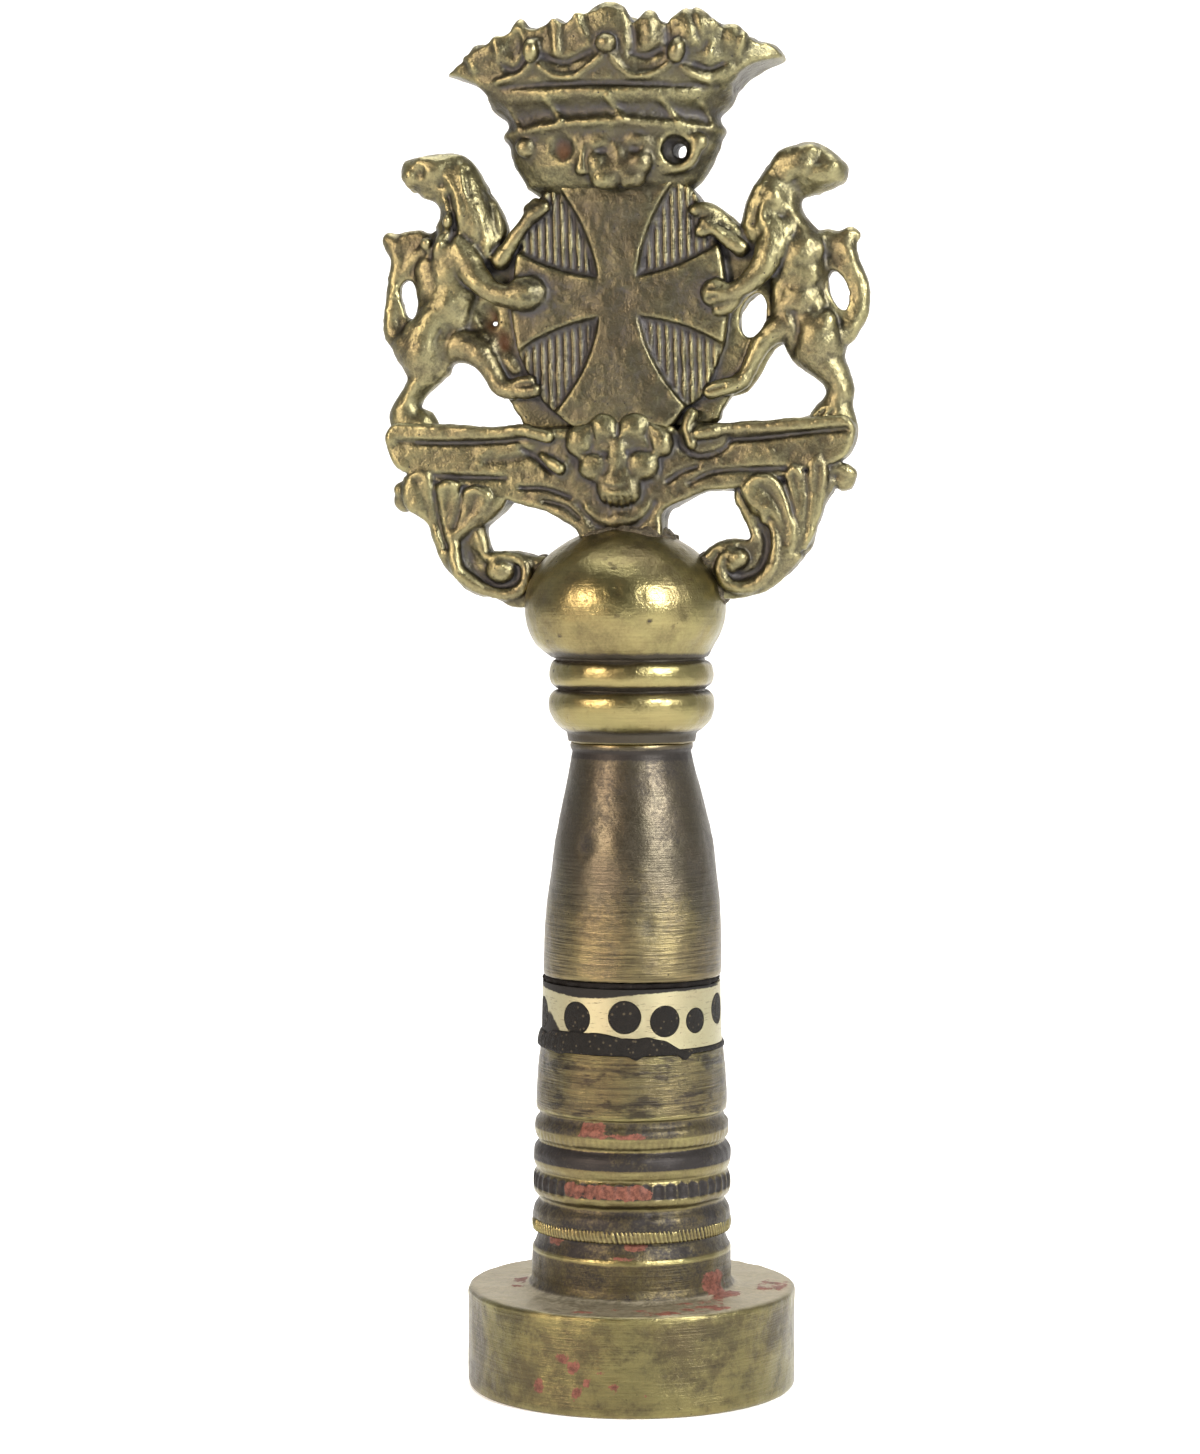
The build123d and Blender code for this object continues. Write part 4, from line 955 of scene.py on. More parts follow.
crown = {
    "bowl": [
        (79.5, 5, 0.9), (79.9, 5.5, 1.7), (80.3, 6, 2.25), (80.8, 6.3, 2.6), (81.5, 6.75, 2.85),
        (82.5, 7.2, 3.05), (83.7, 7.35, 3.2), (84.4, 7.4, 3.35), (85.3, 7.75, 3.55), (86.4, 8.2, 3.8),
        (87.1, 8.85, 3.95), (87.7, 10, 4.05), (88.05, 11.5, 4.15), (89, 11.9, 4.2), (92.6, 11.9, 4.3),
    ],    # height, half width, half depth
    "top": [
        (-11.5, 87.7), (-9.7, 89), (-8, 89.9), (-6.5, 90.6), (-5.4, 91), (-4.4, 90.95), (-3.4, 91.3),
        (-2.3, 91.2), (-1.3, 91.6), (0.2, 91.95), (1.4, 91.75), (2, 91.3), (2.7, 91.1), (3.7, 90.9),
        (4.8, 91.2), (5.9, 91.25), (6.7, 90.9), (7.4, 90.5), (8, 90.2), (8.9, 89.7), (10, 89.3), (10.9, 89),
        (11.7, 88.1),
    ],
    "lobes": [
        ((0.5, 90.65, 3.7), (1.5, 1.25, 0.7)), ((3.2, 89.8, 3.75), (0.72, 1.45, 0.65)),
        ((5.9, 89.9, 3.4), (1.3, 1.4, 0.75)), ((8.4, 89.2, 2.7), (0.95, 1, 0.7)),
        ((-5.5, 90.2, 3.3), (0.6, 0.9, 0.6)), ((-8.4, 88.8, 2.5), (0.8, 0.9, 0.6)),
    ],
    "dips": [
        ((-2.3, 89.9, 4.7), (0.6, 1.2, 0.5)), ((-3.9, 89.8, 4.5), (0.62, 1.25, 0.5)),
        ((-6, 89.3, 3.95), (0.75, 1.1, 0.5)),
    ],
    "ridges": [
        (0.36, 0.22, [[(-7.4, 90.3), (-7.1, 89.3), (-7, 88.2)], [(-3.2, 91.2), (-3.05, 90.1), (-3, 88.8)],
          [(-1.7, 91.6), (-1.5, 90.8), (-1.1, 89.9)], [(7.5, 90.3), (7.4, 89.4), (7.1, 88.3)]]),
        (0.24, 0.18, [[(9.4, 89.4), (9.2, 88.8), (8.9, 88.2)], [(-9.6, 89.1), (-9.2, 88.6), (-8.8, 88)]]),
        (0.28, -0.26, [[(2.05, 91.4), (2.1, 90.2), (2.2, 88.9)], [(4.3, 91), (4.3, 90), (4.4, 89)]]),
        (0.2, -0.16, [[(5.9, 91.2), (6.2, 90.2), (6.4, 89.3)]]),
        (0.26, -0.28, [[(2, 88.5), (2.9, 88.25), (3.9, 88.6)]]),
        (0.26, -0.26, [[(-4, 88.6), (-2.5, 88.1), (-0.8, 88.7)],
          [(-6.9, 88.2), (-5.9, 87.8), (-5.2, 88.5)]]),
        (0.2, -0.26, [[(6.1, 87.6), (7, 87.3), (7.8, 87.6)]]),
    ],    # width, height, lines
    "pearls": [
        ((-4.7, 88.95, 4), (0.5, 0.78, 0.6)), ((0.4, 89.15, 4.35), (0.7, 0.68, 0.65)),
        ((5, 88.5, 3.95), (0.56, 0.8, 0.62)),
    ],
    "swags": [
        [(-7.2, 87.1), (-5.7, 87.5), (-4.9, 88)],
        [(-4.2, 87.9), (-3.2, 87.2), (-2, 87.1), (-0.9, 87.7), (-0.1, 88.3)],
        [(0.7, 88.3), (1.3, 87.5), (2.2, 86.95), (3.4, 87.1), (4.4, 87.6)],
        [(5.4, 87.4), (6, 86.9), (6.9, 86.4)],
    ],
    "rims": [
        (0.55, 0.34, [[(-8.2, 85.5), (-6, 85.85), (-3, 86.05), (0.6, 86), (4, 85.8), (7.9, 85.4)]]),
        (0.36, 0.32, [[(-7.4, 83.75), (-4, 84.05), (-1, 84.2), (2.8, 84), (7.3, 83.5)]]),
        (0.45, -0.18, [[(-7.6, 84.7), (-3, 85.1), (2, 85), (7.6, 84.4)]]),
        (0.2, -0.2, [[(-6.9, 86.75), (-3, 86.75), (0.6, 86.6), (7.4, 86.2)]]),
    ],
    "bars": [
        [(-3.9, 85.7), (-3, 84.5)], [(0.3, 85.6), (1.3, 84.3)], [(3.8, 85.4), (4.8, 84.1)],
        [(-6.6, 85.3), (-6.1, 84.3)], [(6.4, 85), (6.9, 83.9)],
    ],
    "clay": (12.3, 5.6, 79, 93.1),    # half width, half depth, bottom, top
    "fan": (85.4, 1.8, 12.15),    # foot, over how much height, half width
    "topSlope": 0.14,    # how much lower the front of the rim is for each mm forward
    "mouth": [((0, 92.9, 0), (9.6, 4, 2.7))],
    "studs": [((-5.6, 82.9, 2.05), (0.66, 0.66, 0.5)), ((6.05, 82.75, 2), (0.56, 0.56, 0.5))],
    "eyeletRing": ((4.5, 82.3, 2.05), 1.2, 0.34),
    "eyelet": [((4.5, 82.3, 2.6), (0.95, 0.98, 1.35))],
    "eyeletHole": ((4.6, 82.3), (0.5, 0.5)),
    "blindEyelet": [((-3.15, 82.5, 3.3), (0.95, 1.1, 0.95))],
    "rust": [(-3, 82.4, 0.7, 0.85)],
}

upMask = {
    "outline": [
        (-1.3, 83.5), (0.8, 83.55), (2.95, 83.3), (2.85, 81.9), (2.65, 80.9), (2.2, 80.1), (1.6, 79.9),
        (0.75, 80.05), (0, 79.9), (-0.95, 80.15), (-1.25, 81), (-1.3, 82),
    ],
    "half": 2.98,
    "masses": [
        ((-0.45, 83, 2.7), (0.95, 0.5, 0.5)), ((1.9, 82.95, 2.7), (0.95, 0.5, 0.5)),
        ((0.72, 82, 2.7), (0.55, 1.3, 0.55)), ((0.7, 81, 2.55), (1.6, 0.95, 0.78)),
        ((-0.75, 81.5, 2.65), (0.7, 0.8, 0.52)), ((2.2, 81.5, 2.65), (0.72, 0.95, 0.6)),
        ((-0.1, 80.5, 2.6), (0.95, 0.6, 0.68)), ((1.55, 80.45, 2.6), (0.95, 0.6, 0.7)),
    ],
    "eyes": [((-0.4, 82.3, 3.35), (0.5, 0.3, 0.5)), ((1.85, 82.3, 3.35), (0.5, 0.3, 0.5))],
    "strap": [
        (-1.55, 83.6), (-1.8, 82.6), (-2.1, 81.7), (-2.1, 81), (-1.4, 80.95), (-1.42, 81.6), (-1.4, 82.4),
        (-1.25, 83.5),
    ],
    "strapHalf": 3.1,
    "lip": ([(0.7, 80.6), (0.72, 80.2), (0.7, 79.8)], 0.18, -0.16),    # points, width, height
}


def crownBowl(clay):
    # round below, spreading above into a fan whose front stays broad out to its tips
    z, a, b = np.array(crown["bowl"]).T
    fanFoot, fanOver, fanHalf = crown["fan"]
    cuts, x, f, zz = region(clay, (-a.max(), 0, z[0]), (a.max(), b.max(), z[-1]), 0.8)
    half, deep = np.interp(zz, z, a), np.interp(zz, z, b)
    fan = np.clip((zz - fanFoot) / fanOver, 0, 1)
    wide = half + (fanHalf - half) * fan * fan * (3 - 2 * fan)
    shape = roundDistance((x, wide), (f, deep))
    shape = -softMin(-shape, (half - np.abs(x)) * 0.8, 0.5)
    top = smoothKnots(crown["top"])
    shape = np.maximum(shape, (zz - np.interp(x, top[:, 0], top[:, 1]) + crown["topSlope"] * f) * 0.8)
    merge(clay, cuts, np.maximum(shape, z[0] - zz), 0.2)


def upperMask(clay):
    slab(clay, closedLoop(upMask["outline"]), level(upMask["half"]), 0.6, 0.25)
    blobs(clay, upMask["masses"], 0.25)
    blobs(clay, upMask["eyes"], 0.2, True)
    slab(clay, closedLoop(upMask["strap"]), level(upMask["strapHalf"]), 0.35, 0.15)
    stroke(clay, *upMask["lip"], 4, 2.0)


def sculptCrown():
    clay = newClay(*crown["clay"], crest["voxel"])
    crownBowl(clay)
    blobs(clay, crown["lobes"], 0.25)
    blobs(clay, crown["dips"], 0.2, True)
    blobs(clay, crown["mouth"], 0.3, True)
    strokes(clay, crown["rims"] + crown["ridges"], 0.5)
    for points in crown["bars"]:
        stroke(clay, points, 0.26, 0.26, 2, 0.5)
    for points in crown["swags"]:
        stroke(clay, points, 0.26, 0.28, 5, 0.5)
    blobs(clay, crown["pearls"], 0.1)
    blobs(clay, crown["studs"], 0.25)
    upperMask(clay)
    ringBead(clay, *crown["eyeletRing"], 0.6)
    blobs(clay, crown["eyelet"], 0.25, True)
    pierce(clay, *crown["eyeletHole"])
    blobs(clay, crown["blindEyelet"], 0.3, True)
    return clay


print("sculpting the crown")
crownCast = crestPiece("crown", sculptCrown(), rng, rust=crown["rust"])


# turned pieces: profiles of (radius, height) spun about the stem's axis
# bearings are in degrees round the axis from the crest's front towards its right

def straight(points, step):
    path = [np.array(points[:1], float)]
    for a, b in zip(points, points[1:]):
        n = max(1, int(math.dist(a, b) / step + 0.5))
        t = np.arange(1, n + 1)[:, None] / n
        path.append(np.array(a) * (1 - t) + np.array(b) * t)
    return np.concatenate(path)


def curved(points, step):
    path = smoothKnots(points, 12)
    along = np.concatenate([[0], np.cumsum(np.linalg.norm(np.diff(path, axis=0), axis=1))])
    at = np.linspace(0, along[-1], max(2, int(along[-1] / step)))
    return np.stack([np.interp(at, along, path[:, i]) for i in (0, 1)], 1)


def joined(*paths):
    path = np.concatenate(paths)
    keep = np.concatenate([[True], np.linalg.norm(np.diff(path, axis=0), axis=1) > 1e-4])
    return path[keep]


def pathNormals(path):
    along = np.gradient(path, axis=0)
    out = np.stack([along[:, 1], -along[:, 0]], 1)
    return out / np.maximum(np.linalg.norm(out, axis=1), tiny)[:, None]


def pathHollow(path, reach, depth):
    # how far the profile lies inside its own smoothed line
    gap = np.linalg.norm(path[:, None, :] - path[None], axis=2)
    weight = np.exp(-((gap / reach) ** 2))
    mean = weight @ path / weight.sum(1)[:, None]
    return np.clip(((mean - path) * pathNormals(path)).sum(1) / depth, -1, 1)[:, None]


def latticeNoise(places, grain, rng):
    flat = places.reshape(-1, 3)
    low, high = flat.min(0), flat.max(0)
    cells = ((high - low) / grain).astype(int) + 3
    lattice = rng.standard_normal(cells).astype(np.float32)
    at = (flat - low) / grain
    whole = at.astype(int)
    t = at - whole
    return gridSample(lattice, whole + t * t * (3 - 2 * t)).reshape(places.shape[:2])


def roughened(places, layers, rng):
    return sum(height * latticeNoise(places, grain, rng) for height, grain in layers)


def window(values, low, high, soft):
    return np.clip((values - low) / soft + 0.5, 0, 1) * np.clip((high - values) / soft + 0.5, 0, 1)


def turns(segments):
    return np.arange(segments) * 2 * math.pi / segments


def apart(bearing, at):
    return (bearing - at + 180) % 360 - 180


def around(r, turn, z):
    return np.stack([r * np.sin(turn), -r * np.cos(turn), z + 0 * turn], 2)


def spun(path, segments):
    # places of every profile point at every bearing, with the bearings in degrees
    turn = turns(segments)
    return around(path[:, :1], turn, path[:, 1:]), apart(np.degrees(turn), 0)[None, :]


def spunPiece(name, path, places, push, marks, body, replaced):
    # pushes the spun profile out along its normals; the ends on the axis become single vertices
    rows, segments = places.shape[:2]
    out = pathNormals(path)
    places = places + around(out[:, :1], turns(segments), out[:, 1:]) * push[:, :, None]
    inner = places[1:-1].reshape(-1, 3)
    verts = np.concatenate([inner, places[0].mean(0)[None], places[-1].mean(0)[None]])
    grid = np.arange((rows - 2) * segments).reshape(rows - 2, segments)
    ahead = np.roll(grid, -1, 1)
    quads = np.stack([grid[:-1], ahead[:-1], ahead[1:], grid[1:]], 2).reshape(-1, 4)
    first, last = len(inner), len(inner) + 1
    fanLow = np.stack([np.full(segments, first), ahead[0], grid[0]], 1)
    fanHigh = np.stack([np.full(segments, last), grid[-1], ahead[-1]], 1)
    flat = {}
    for label, values in marks.items():
        values = np.broadcast_to(values, (rows, segments))
        flat[label] = np.concatenate([values[1:-1].ravel(), [values[0].mean(), values[-1].mean()]])
    print(name, len(quads), "faces")
    return meshPiece(name, verts * mm, [quads, fanLow, fanHigh], flat, body, replaced)


def ringPiece(name, section, body, replaced):
    # a closed ring; its section is given at every bearing as (radius, height) points, up its outside
    section = np.stack([np.stack(point, 1) for point in section])
    rows, segments = section.shape[:2]
    r, z = section[:, :, 0], section[:, :, 1]
    places = around(r, turns(segments), z)
    grid = np.arange(rows * segments).reshape(rows, segments)
    ahead = np.roll(grid, -1, 1)
    quads = np.stack([grid, ahead, np.roll(ahead, -1, 0), np.roll(grid, -1, 0)], 2).reshape(-1, 4)
    # darker where the section lies inside its mean radius: patina and painted shade in the knurl's grooves
    marks = {"patinaAndShade": np.clip(6 * (r.mean(1)[:, None] - r), -0.6, 0.6).ravel()}
    return meshPiece(name, places.reshape(-1, 3) * mm, [quads], marks, body, replaced)


def ringNoise(segments, waves, rng):
    turn = turns(segments)
    total = np.zeros(segments)
    for n in range(2, waves):
        total += rng.standard_normal() / math.sqrt(n) * np.cos(n * turn + rng.uniform(0, 6.3))
    return total / 1.8


# die and ringed stem

stem = {
    "segments": 352, "discRadius": 11, "discTop": 6.7,
    "rings": [
        (6.25, 10.45), (6.3, 10.65), (6.55, 10.85), (6.64, 11.2), (6.64, 11.7), (6.55, 12.1), (6.32, 12.45),
        (6.25, 12.65), (6.32, 12.85), (6.56, 13.1), (6.66, 13.5), (6.66, 14), (6.58, 14.4), (6.42, 14.65),
        (6.52, 14.85), (6.64, 15.2), (6.64, 15.8), (6.55, 16.15), (6.32, 16.45), (6.25, 16.6), (6.32, 16.75),
        (6.46, 16.95), (6.53, 17.4), (6.46, 17.9), (6.25, 18.15), (6.18, 18.35),
    ],
    "beads": (13.5, 14.45, 48, 0.13, 5),    # low, high, count, depth, thinness of the walls
    "ticks": (16.55, 17.4, 88, 0.03, 2),
    "tarnish": [
        (18.6, 18.85, -0.9), (17.5, 18.6, 0.36), (16.55, 17.5, -0.12), (15.35, 16.55, 0.56),
        (14.5, 15.35, -0.12), (13.5, 14.5, 0.36), (12.65, 13.5, -0.06), (11.45, 12.65, 0.38),
        (9.45, 11.45, 0.42), (9.24, 9.45, -0.8), (7, 9.24, 0.28),
    ],    # low, high, share
    "knurl": {
        "low": 10.6, "high": 11.42, "count": 144, "radius": 6.68, "depth": 0.05, "rows": 9, "bow": 0.35,
        "slant": 5, "inner": 6.1,
    },
    "wax": [
        (-21, -5, 17.55, 18.5, 1), (-24, 21, 17.5, 17.8, 0.9), (-33, 22, 13.5, 14.45, 1),
        (-50, -36, 10, 10.6, 0.8), (4, 22, 10.15, 10.65, 0.9), (-2, 16, 9.5, 9.75, 0.8),
        (55, 76, 6.75, 8.3, 1), (-16, -11, 3.5, 4.3, 0.9), (-12, -7, 2.8, 3.7, 0.9),
        (-25, -20, 1.3, 2.3, 0.85), (-10, -7, 1.3, 2, 0.8), (3, 7, 1.8, 2.4, 0.85), (-2, 1, 2.7, 3.3, 0.75),
        (-6, -3, 2, 2.6, 0.75), (14, 17, 1.3, 1.9, 0.75), (130, 200, 13.6, 14.4, 1),
        (-150, -110, 17.6, 18.4, 1), (90, 130, 10.2, 10.6, 0.8),
    ],    # bearings, heights, share
    "smears": [
        (10, 30, 9.4, 10.7, 0.56), (28, 52, 8.8, 10.6, 0.56), (0, 20, 8.5, 9.5, 0.52),
        (84, 106, 8.4, 10.6, 0.58), (-96, -68, 6.9, 8.2, 0.56), (58, 80, 6.9, 8.1, 0.85),
        (-14, -2, 9.6, 10.5, 0.5), (30, 60, 7.4, 8.6, 0.5),
    ],    # bearings, radii, share
    "waxThick": 0.1,
    "cone": [
        (6.18, 18.35), (6.18, 18.6), (6.3, 18.68), (6.38, 18.8), (6.4, 19.6), (6.3, 21.3), (6.14, 22.9),
    ],
    "spigot": [(6.14, 22.9), (6.1, 23), (4.2, 23), (4.2, 27), (2.5, 27), (2.5, 17.2), (0, 17.2)],
    "rough": ((0.03, 1.6), (0.014, 0.5)),    # height, grain
    "roughSpan": (0.2, 22.8),
    "skin": 6,    # least radius of the outside
    "waxSkin": 6.1,
    "patchSoft": (9, 0.4),    # degrees, mm
    "scallop": (0.08, 14.2, 14.8),    # depth, low, high
    "dusty": ((6.6, 6.9), (6.9, 10.8)),    # heights, radii
    "turned": [
        (18.7, 23, 0.2, 1), (0.3, 9.3, 0.2, 0.5), (9.3, 18.7, 0.1, 0.25),
    ],    # low, high, softness, share
    "mottled": (0.2, 6.6),
    "engraving": {
        "petals": 6, "petalAt": 4.3, "petalLong": 2.3, "petalWide": 1.1, "ring": (8.7, 9.3), "depth": 0.5,
    },
}


def waxCover(places, bearing, rng):
    z, r = places[:, :, 2], np.hypot(places[:, :, 0], places[:, :, 1])
    top = window(z, stem["discTop"] - 0.1, stem["discTop"] + 0.1, 0.05)
    ragged = latticeNoise(places, 0.6, rng)
    softTurn, soft = stem["patchSoft"]
    cover = np.zeros(z.shape)
    for low, high, bottom, head, share in stem["wax"]:
        patch = share * window(bearing, low, high, min(softTurn, high - low)) * window(z, bottom, head, soft)
        cover = np.maximum(cover, patch * (1 - top))
    for low, high, inner, outer, share in stem["smears"]:
        patch = share * window(bearing, low, high, softTurn) * window(r, inner, outer, soft)
        cover = np.maximum(cover, patch * top)
    return np.clip(cover * 1.3 - 0.3 + 0.22 * ragged * (cover > 0.02), 0, 1)


def engraving(places):
    # a rosette in a ring, sunk into the die's face
    e = stem["engraving"]
    x, y = places[:, :, 0], places[:, :, 1]
    r, turn = np.hypot(x, y), np.arctan2(x, -y)
    petal = np.abs((turn * e["petals"] / (2 * math.pi) + 0.5) % 1 - 0.5) * 2 * math.pi / e["petals"]
    u, v = r * np.cos(petal) - e["petalAt"], r * np.sin(petal)
    sunk = np.clip((1 - np.sqrt((u / e["petalLong"]) ** 2 + (v / e["petalWide"]) ** 2)) * 3, 0, 1)
    sunk = np.maximum(sunk, window(r, *e["ring"], 0.2))
    return sunk * e["depth"] * (places[:, :, 2] < 0.01)


def stemPath():
    d, top = stem["discRadius"], stem["discTop"]
    return joined(
        straight([(0, 0), (d - 0.35, 0)], 0.22),
        curved([(d - 0.35, 0), (d - 0.1, 0.1), (d, 0.35)], 0.12),
        straight([(d, 0.35), (d, top - 0.3)], 0.3),
        curved([(d, top - 0.3), (d - 0.08, top - 0.08), (d - 0.3, top)], 0.1),
        straight([(d - 0.3, top), (7.4, top)], 0.3),
        curved([(7.4, top), (6.9, top + 0.2), (6.66, top + 0.7)], 0.1),
        straight([(6.66, top + 0.7), (6.68, 9.3)], 0.2),
        curved([(6.68, 9.3), (6.64, 9.42), (6.5, 9.65), (6.3, 10.2), (6.25, 10.45)], 0.09),
        curved(stem["rings"], 0.09),
        curved(stem["cone"], 0.12),
        straight(stem["spigot"], 0.8),
    )


def makeStem(rng):
    path = stemPath()
    places, bearing = spun(path, stem["segments"])
    z, turn = places[:, :, 2], np.radians(bearing)
    outside = path[:, :1] > stem["skin"]
    rough = roughened(places, stem["rough"], rng) * window(z, *stem["roughSpan"], 0.3)
    cut = np.zeros(z.shape)
    for low, high, count, depth, wall in (stem["beads"], stem["ticks"]):
        tooth = 1 - np.abs(np.cos(turn * count / 2)) ** wall
        cut += depth * window(z, low, high, 0.2) * tooth * outside
    wax = waxCover(places, bearing, rng) * (path[:, :1] > stem["waxSkin"])
    push = rough - cut - engraving(places) + stem["waxThick"] * wax
    # patina and painted shade in the grooves of the profile, lighter on roughened high spots; the bands below
    # set each ring's and groove's patina instead
    patinaAndShade = 0.1 + 0.5 * pathHollow(path, 0.4, 0.1) - 2.5 * rough
    swing, *span = stem["scallop"]
    scallop = swing * np.cos(turn * stem["beads"][2]) * window(z, *span, 0.2)    # over the beads
    for low, high, share in stem["tarnish"]:
        band = window(z + scallop, low, high, 0.1) * outside
        patinaAndShade = patinaAndShade * (1 - band) + band * (share + cut * 4 - 2.5 * rough)
    heights, radii = stem["dusty"]
    onTop = window(z, *heights, 0.1) * window(np.hypot(places[:, :, 0], places[:, :, 1]), *radii, 0.3)
    patinaAndShade = patinaAndShade * (1 - onTop) + 0.12 * onTop
    turned = sum(share * window(z, low, high, soft) for low, high, soft, share in stem["turned"])
    marks = {"patinaAndShade": patinaAndShade, "paintedShade": 0 * z, "wax": wax, "dust": onTop, "turned": turned,
             "mottled": window(z, *stem["mottled"], 0.3) * outside}
    return spunPiece("die_turned", path, places, push, marks, "die", ("die_stem",))


def makeKnurl(rng):
    k = stem["knurl"]
    n, mid = k["count"] * 6, (k["low"] + k["high"]) / 2
    turn = turns(n)
    wobble = 1.5 * ringNoise(n, 40, rng)
    depth = np.clip(1 + 0.5 * ringNoise(n, 60, rng), 0.2, 2)
    rows = []
    for z in np.linspace(k["low"], k["high"], k["rows"]):
        barrel = k["radius"] - k["bow"] * (z - mid) ** 2
        tooth = np.cos(k["count"] * turn + k["slant"] * (z - mid) + wobble) * k["depth"] * depth
        rows.append((barrel + (tooth + 0.015 * ringNoise(n, 90, rng)), z + 0 * turn))
    inner = [(k["inner"] + 0 * turn, z + 0 * turn) for z in (k["high"], k["low"])]
    return ringPiece("knurl_band", rows + inner, "die", ())


print("turning the stem")
dieTurned = makeStem(np.random.default_rng(23))
knurlBand = makeKnurl(np.random.default_rng(29))


# tapered handle

baluster = {
    "bow": 0.15,    # to the right
    "swell": 0.07,    # all round
    "segments": 256,
    "side": [
        (5.9, 27.72), (5.96, 27.9), (5.97, 28.4), (5.93, 30), (5.8, 32), (5.55, 34), (5.28, 36.2),
        (4.95, 38), (4.6, 39.6), (4.25, 41.2), (4.05, 42.3), (3.98, 42.7),
    ],
    "dents": [
        (-28, 36.6, 0.7, 0.1), (20, 31.5, 0.8, 0.06), (-10, 33.2, 0.9, 0.05), (60, 35, 0.9, 0.08),
        (190, 33, 1, 0.08), (120, 38, 0.8, 0.07), (-95, 31, 0.9, 0.08),
    ],    # bearing, height, radius, depth
    "bore": [(0, 34.7), (3.15, 34.7), (3.15, 27.72), (5.9, 27.72)],
    "lip": [(3.98, 42.7), (4.02, 42.8), (4.1, 42.95), (4.1, 43.2)],
    "tenon": [(4.1, 43.2), (4.05, 43.29), (2.5, 43.29), (2.5, 47.2), (0, 47.2)],
    "rough": ((0.022, 1.8), (0.008, 0.5)),    # height, grain
    "bellySpan": (27.72, 15.5),    # foot, length
    "skin": (3.5, 43.2),    # least radius, top
    "browning": (30, 7),    # foot, length
    "neck": (42.3, 43.3),
}


def dentDepth(places, bearing, radius, dents):
    total = 0
    z = places[:, :, 2]
    for at, height, size, depth in dents:
        aside = np.radians(apart(bearing, at)) * radius
        total = total + depth * np.exp(-((aside**2 + (z - height) ** 2) / size**2))
    return total


def makeBaluster(rng):
    foot, length = baluster["bellySpan"]
    least, top = baluster["skin"]
    brownFoot, brownLength = baluster["browning"]
    path = joined(
        straight(baluster["bore"], 0.8),
        curved(baluster["side"], 0.12),
        curved(baluster["lip"], 0.1),
        straight(baluster["tenon"], 0.6),
    )
    places, bearing = spun(path, baluster["segments"])
    z = places[:, :, 2]
    rough = roughened(places, baluster["rough"], rng)
    outside = (path[:, :1] > least) & (path[:, 1:] < top)
    rough = rough * outside - dentDepth(places, bearing, path[:, :1], baluster["dents"]) * outside
    belly = np.sin(math.pi * np.clip((z - foot) / length, 0, 1)) * outside
    places[:, :, 0] += baluster["bow"] * belly
    rough = rough + baluster["swell"] * belly
    up = np.clip((z - brownFoot) / brownLength, 0, 1)
    # patina and painted shade in the profile's hollows, lighter on high spots, darker towards the top and at
    # the neck
    patinaAndShade = pathHollow(path, 0.55, 0.12) - 3 * (rough - baluster["swell"] * belly) - 0.25 + 0.55 * up
    patinaAndShade = patinaAndShade + 0.4 * window(z, *baluster["neck"], 0.2)
    marks = {"patinaAndShade": patinaAndShade, "paintedShade": 0 * z, "turned": 1.0 - 0.75 * up}
    return spunPiece("handle_taper", path, places, rough, marks, "handle", ("baluster",))


print("turning the handle")
handleTaper = makeBaluster(np.random.default_rng(31))


# mouldings and ball

knop = {
    "segments": 256,
    "moulding": [
        (4.25, 43.34), (4.3, 43.6), (4.38, 43.95), (4.72, 44.18), (5.15, 44.6), (5.45, 45.2), (5.56, 45.8),
        (5.48, 46.35), (5.2, 46.7), (4.95, 46.78), (4.87, 46.8),
    ],
    "fillet": [
        (4.87, 46.8), (5.05, 46.95), (5.35, 47.2), (5.5, 47.6), (5.5, 48.1), (5.4, 48.5), (5.2, 48.72),
        (5.03, 48.8), (5, 48.9),
    ],
    "ballHeight": 52.3,
    "ballRadii": (6.75, 5.3),
    "dents": [
        (22, 55, 0.7, 0.06), (-18, 50.6, 0.6, 0.05), (48, 52, 0.5, 0.06), (-45, 53, 0.6, 0.05),
        (150, 52, 0.9, 0.08), (-120, 54, 0.8, 0.07), (5, 53.6, 0.4, 0.05),
    ],    # bearing, height, radius, depth
    "bore": [(0, 47.3), (2.6, 47.3), (2.6, 43.34), (4.25, 43.34)],
    "rough": ((0.028, 1.7), (0.012, 0.5)),    # height, grain
    "follow": 1.35,    # shift of the ball as a share of that of the crest
    "slide": (48.4, 1.6),    # foot, length
    "ballStart": 50,
    "ballAngles": (-39, 90.5, 1.25),    # first, last, step
    "neck": (43, 44.2),
    "spots": (0.34, 1.15, 0.8),    # grain, threshold, most
    "spotPatches": (3, 0.4),    # grain, offset
}


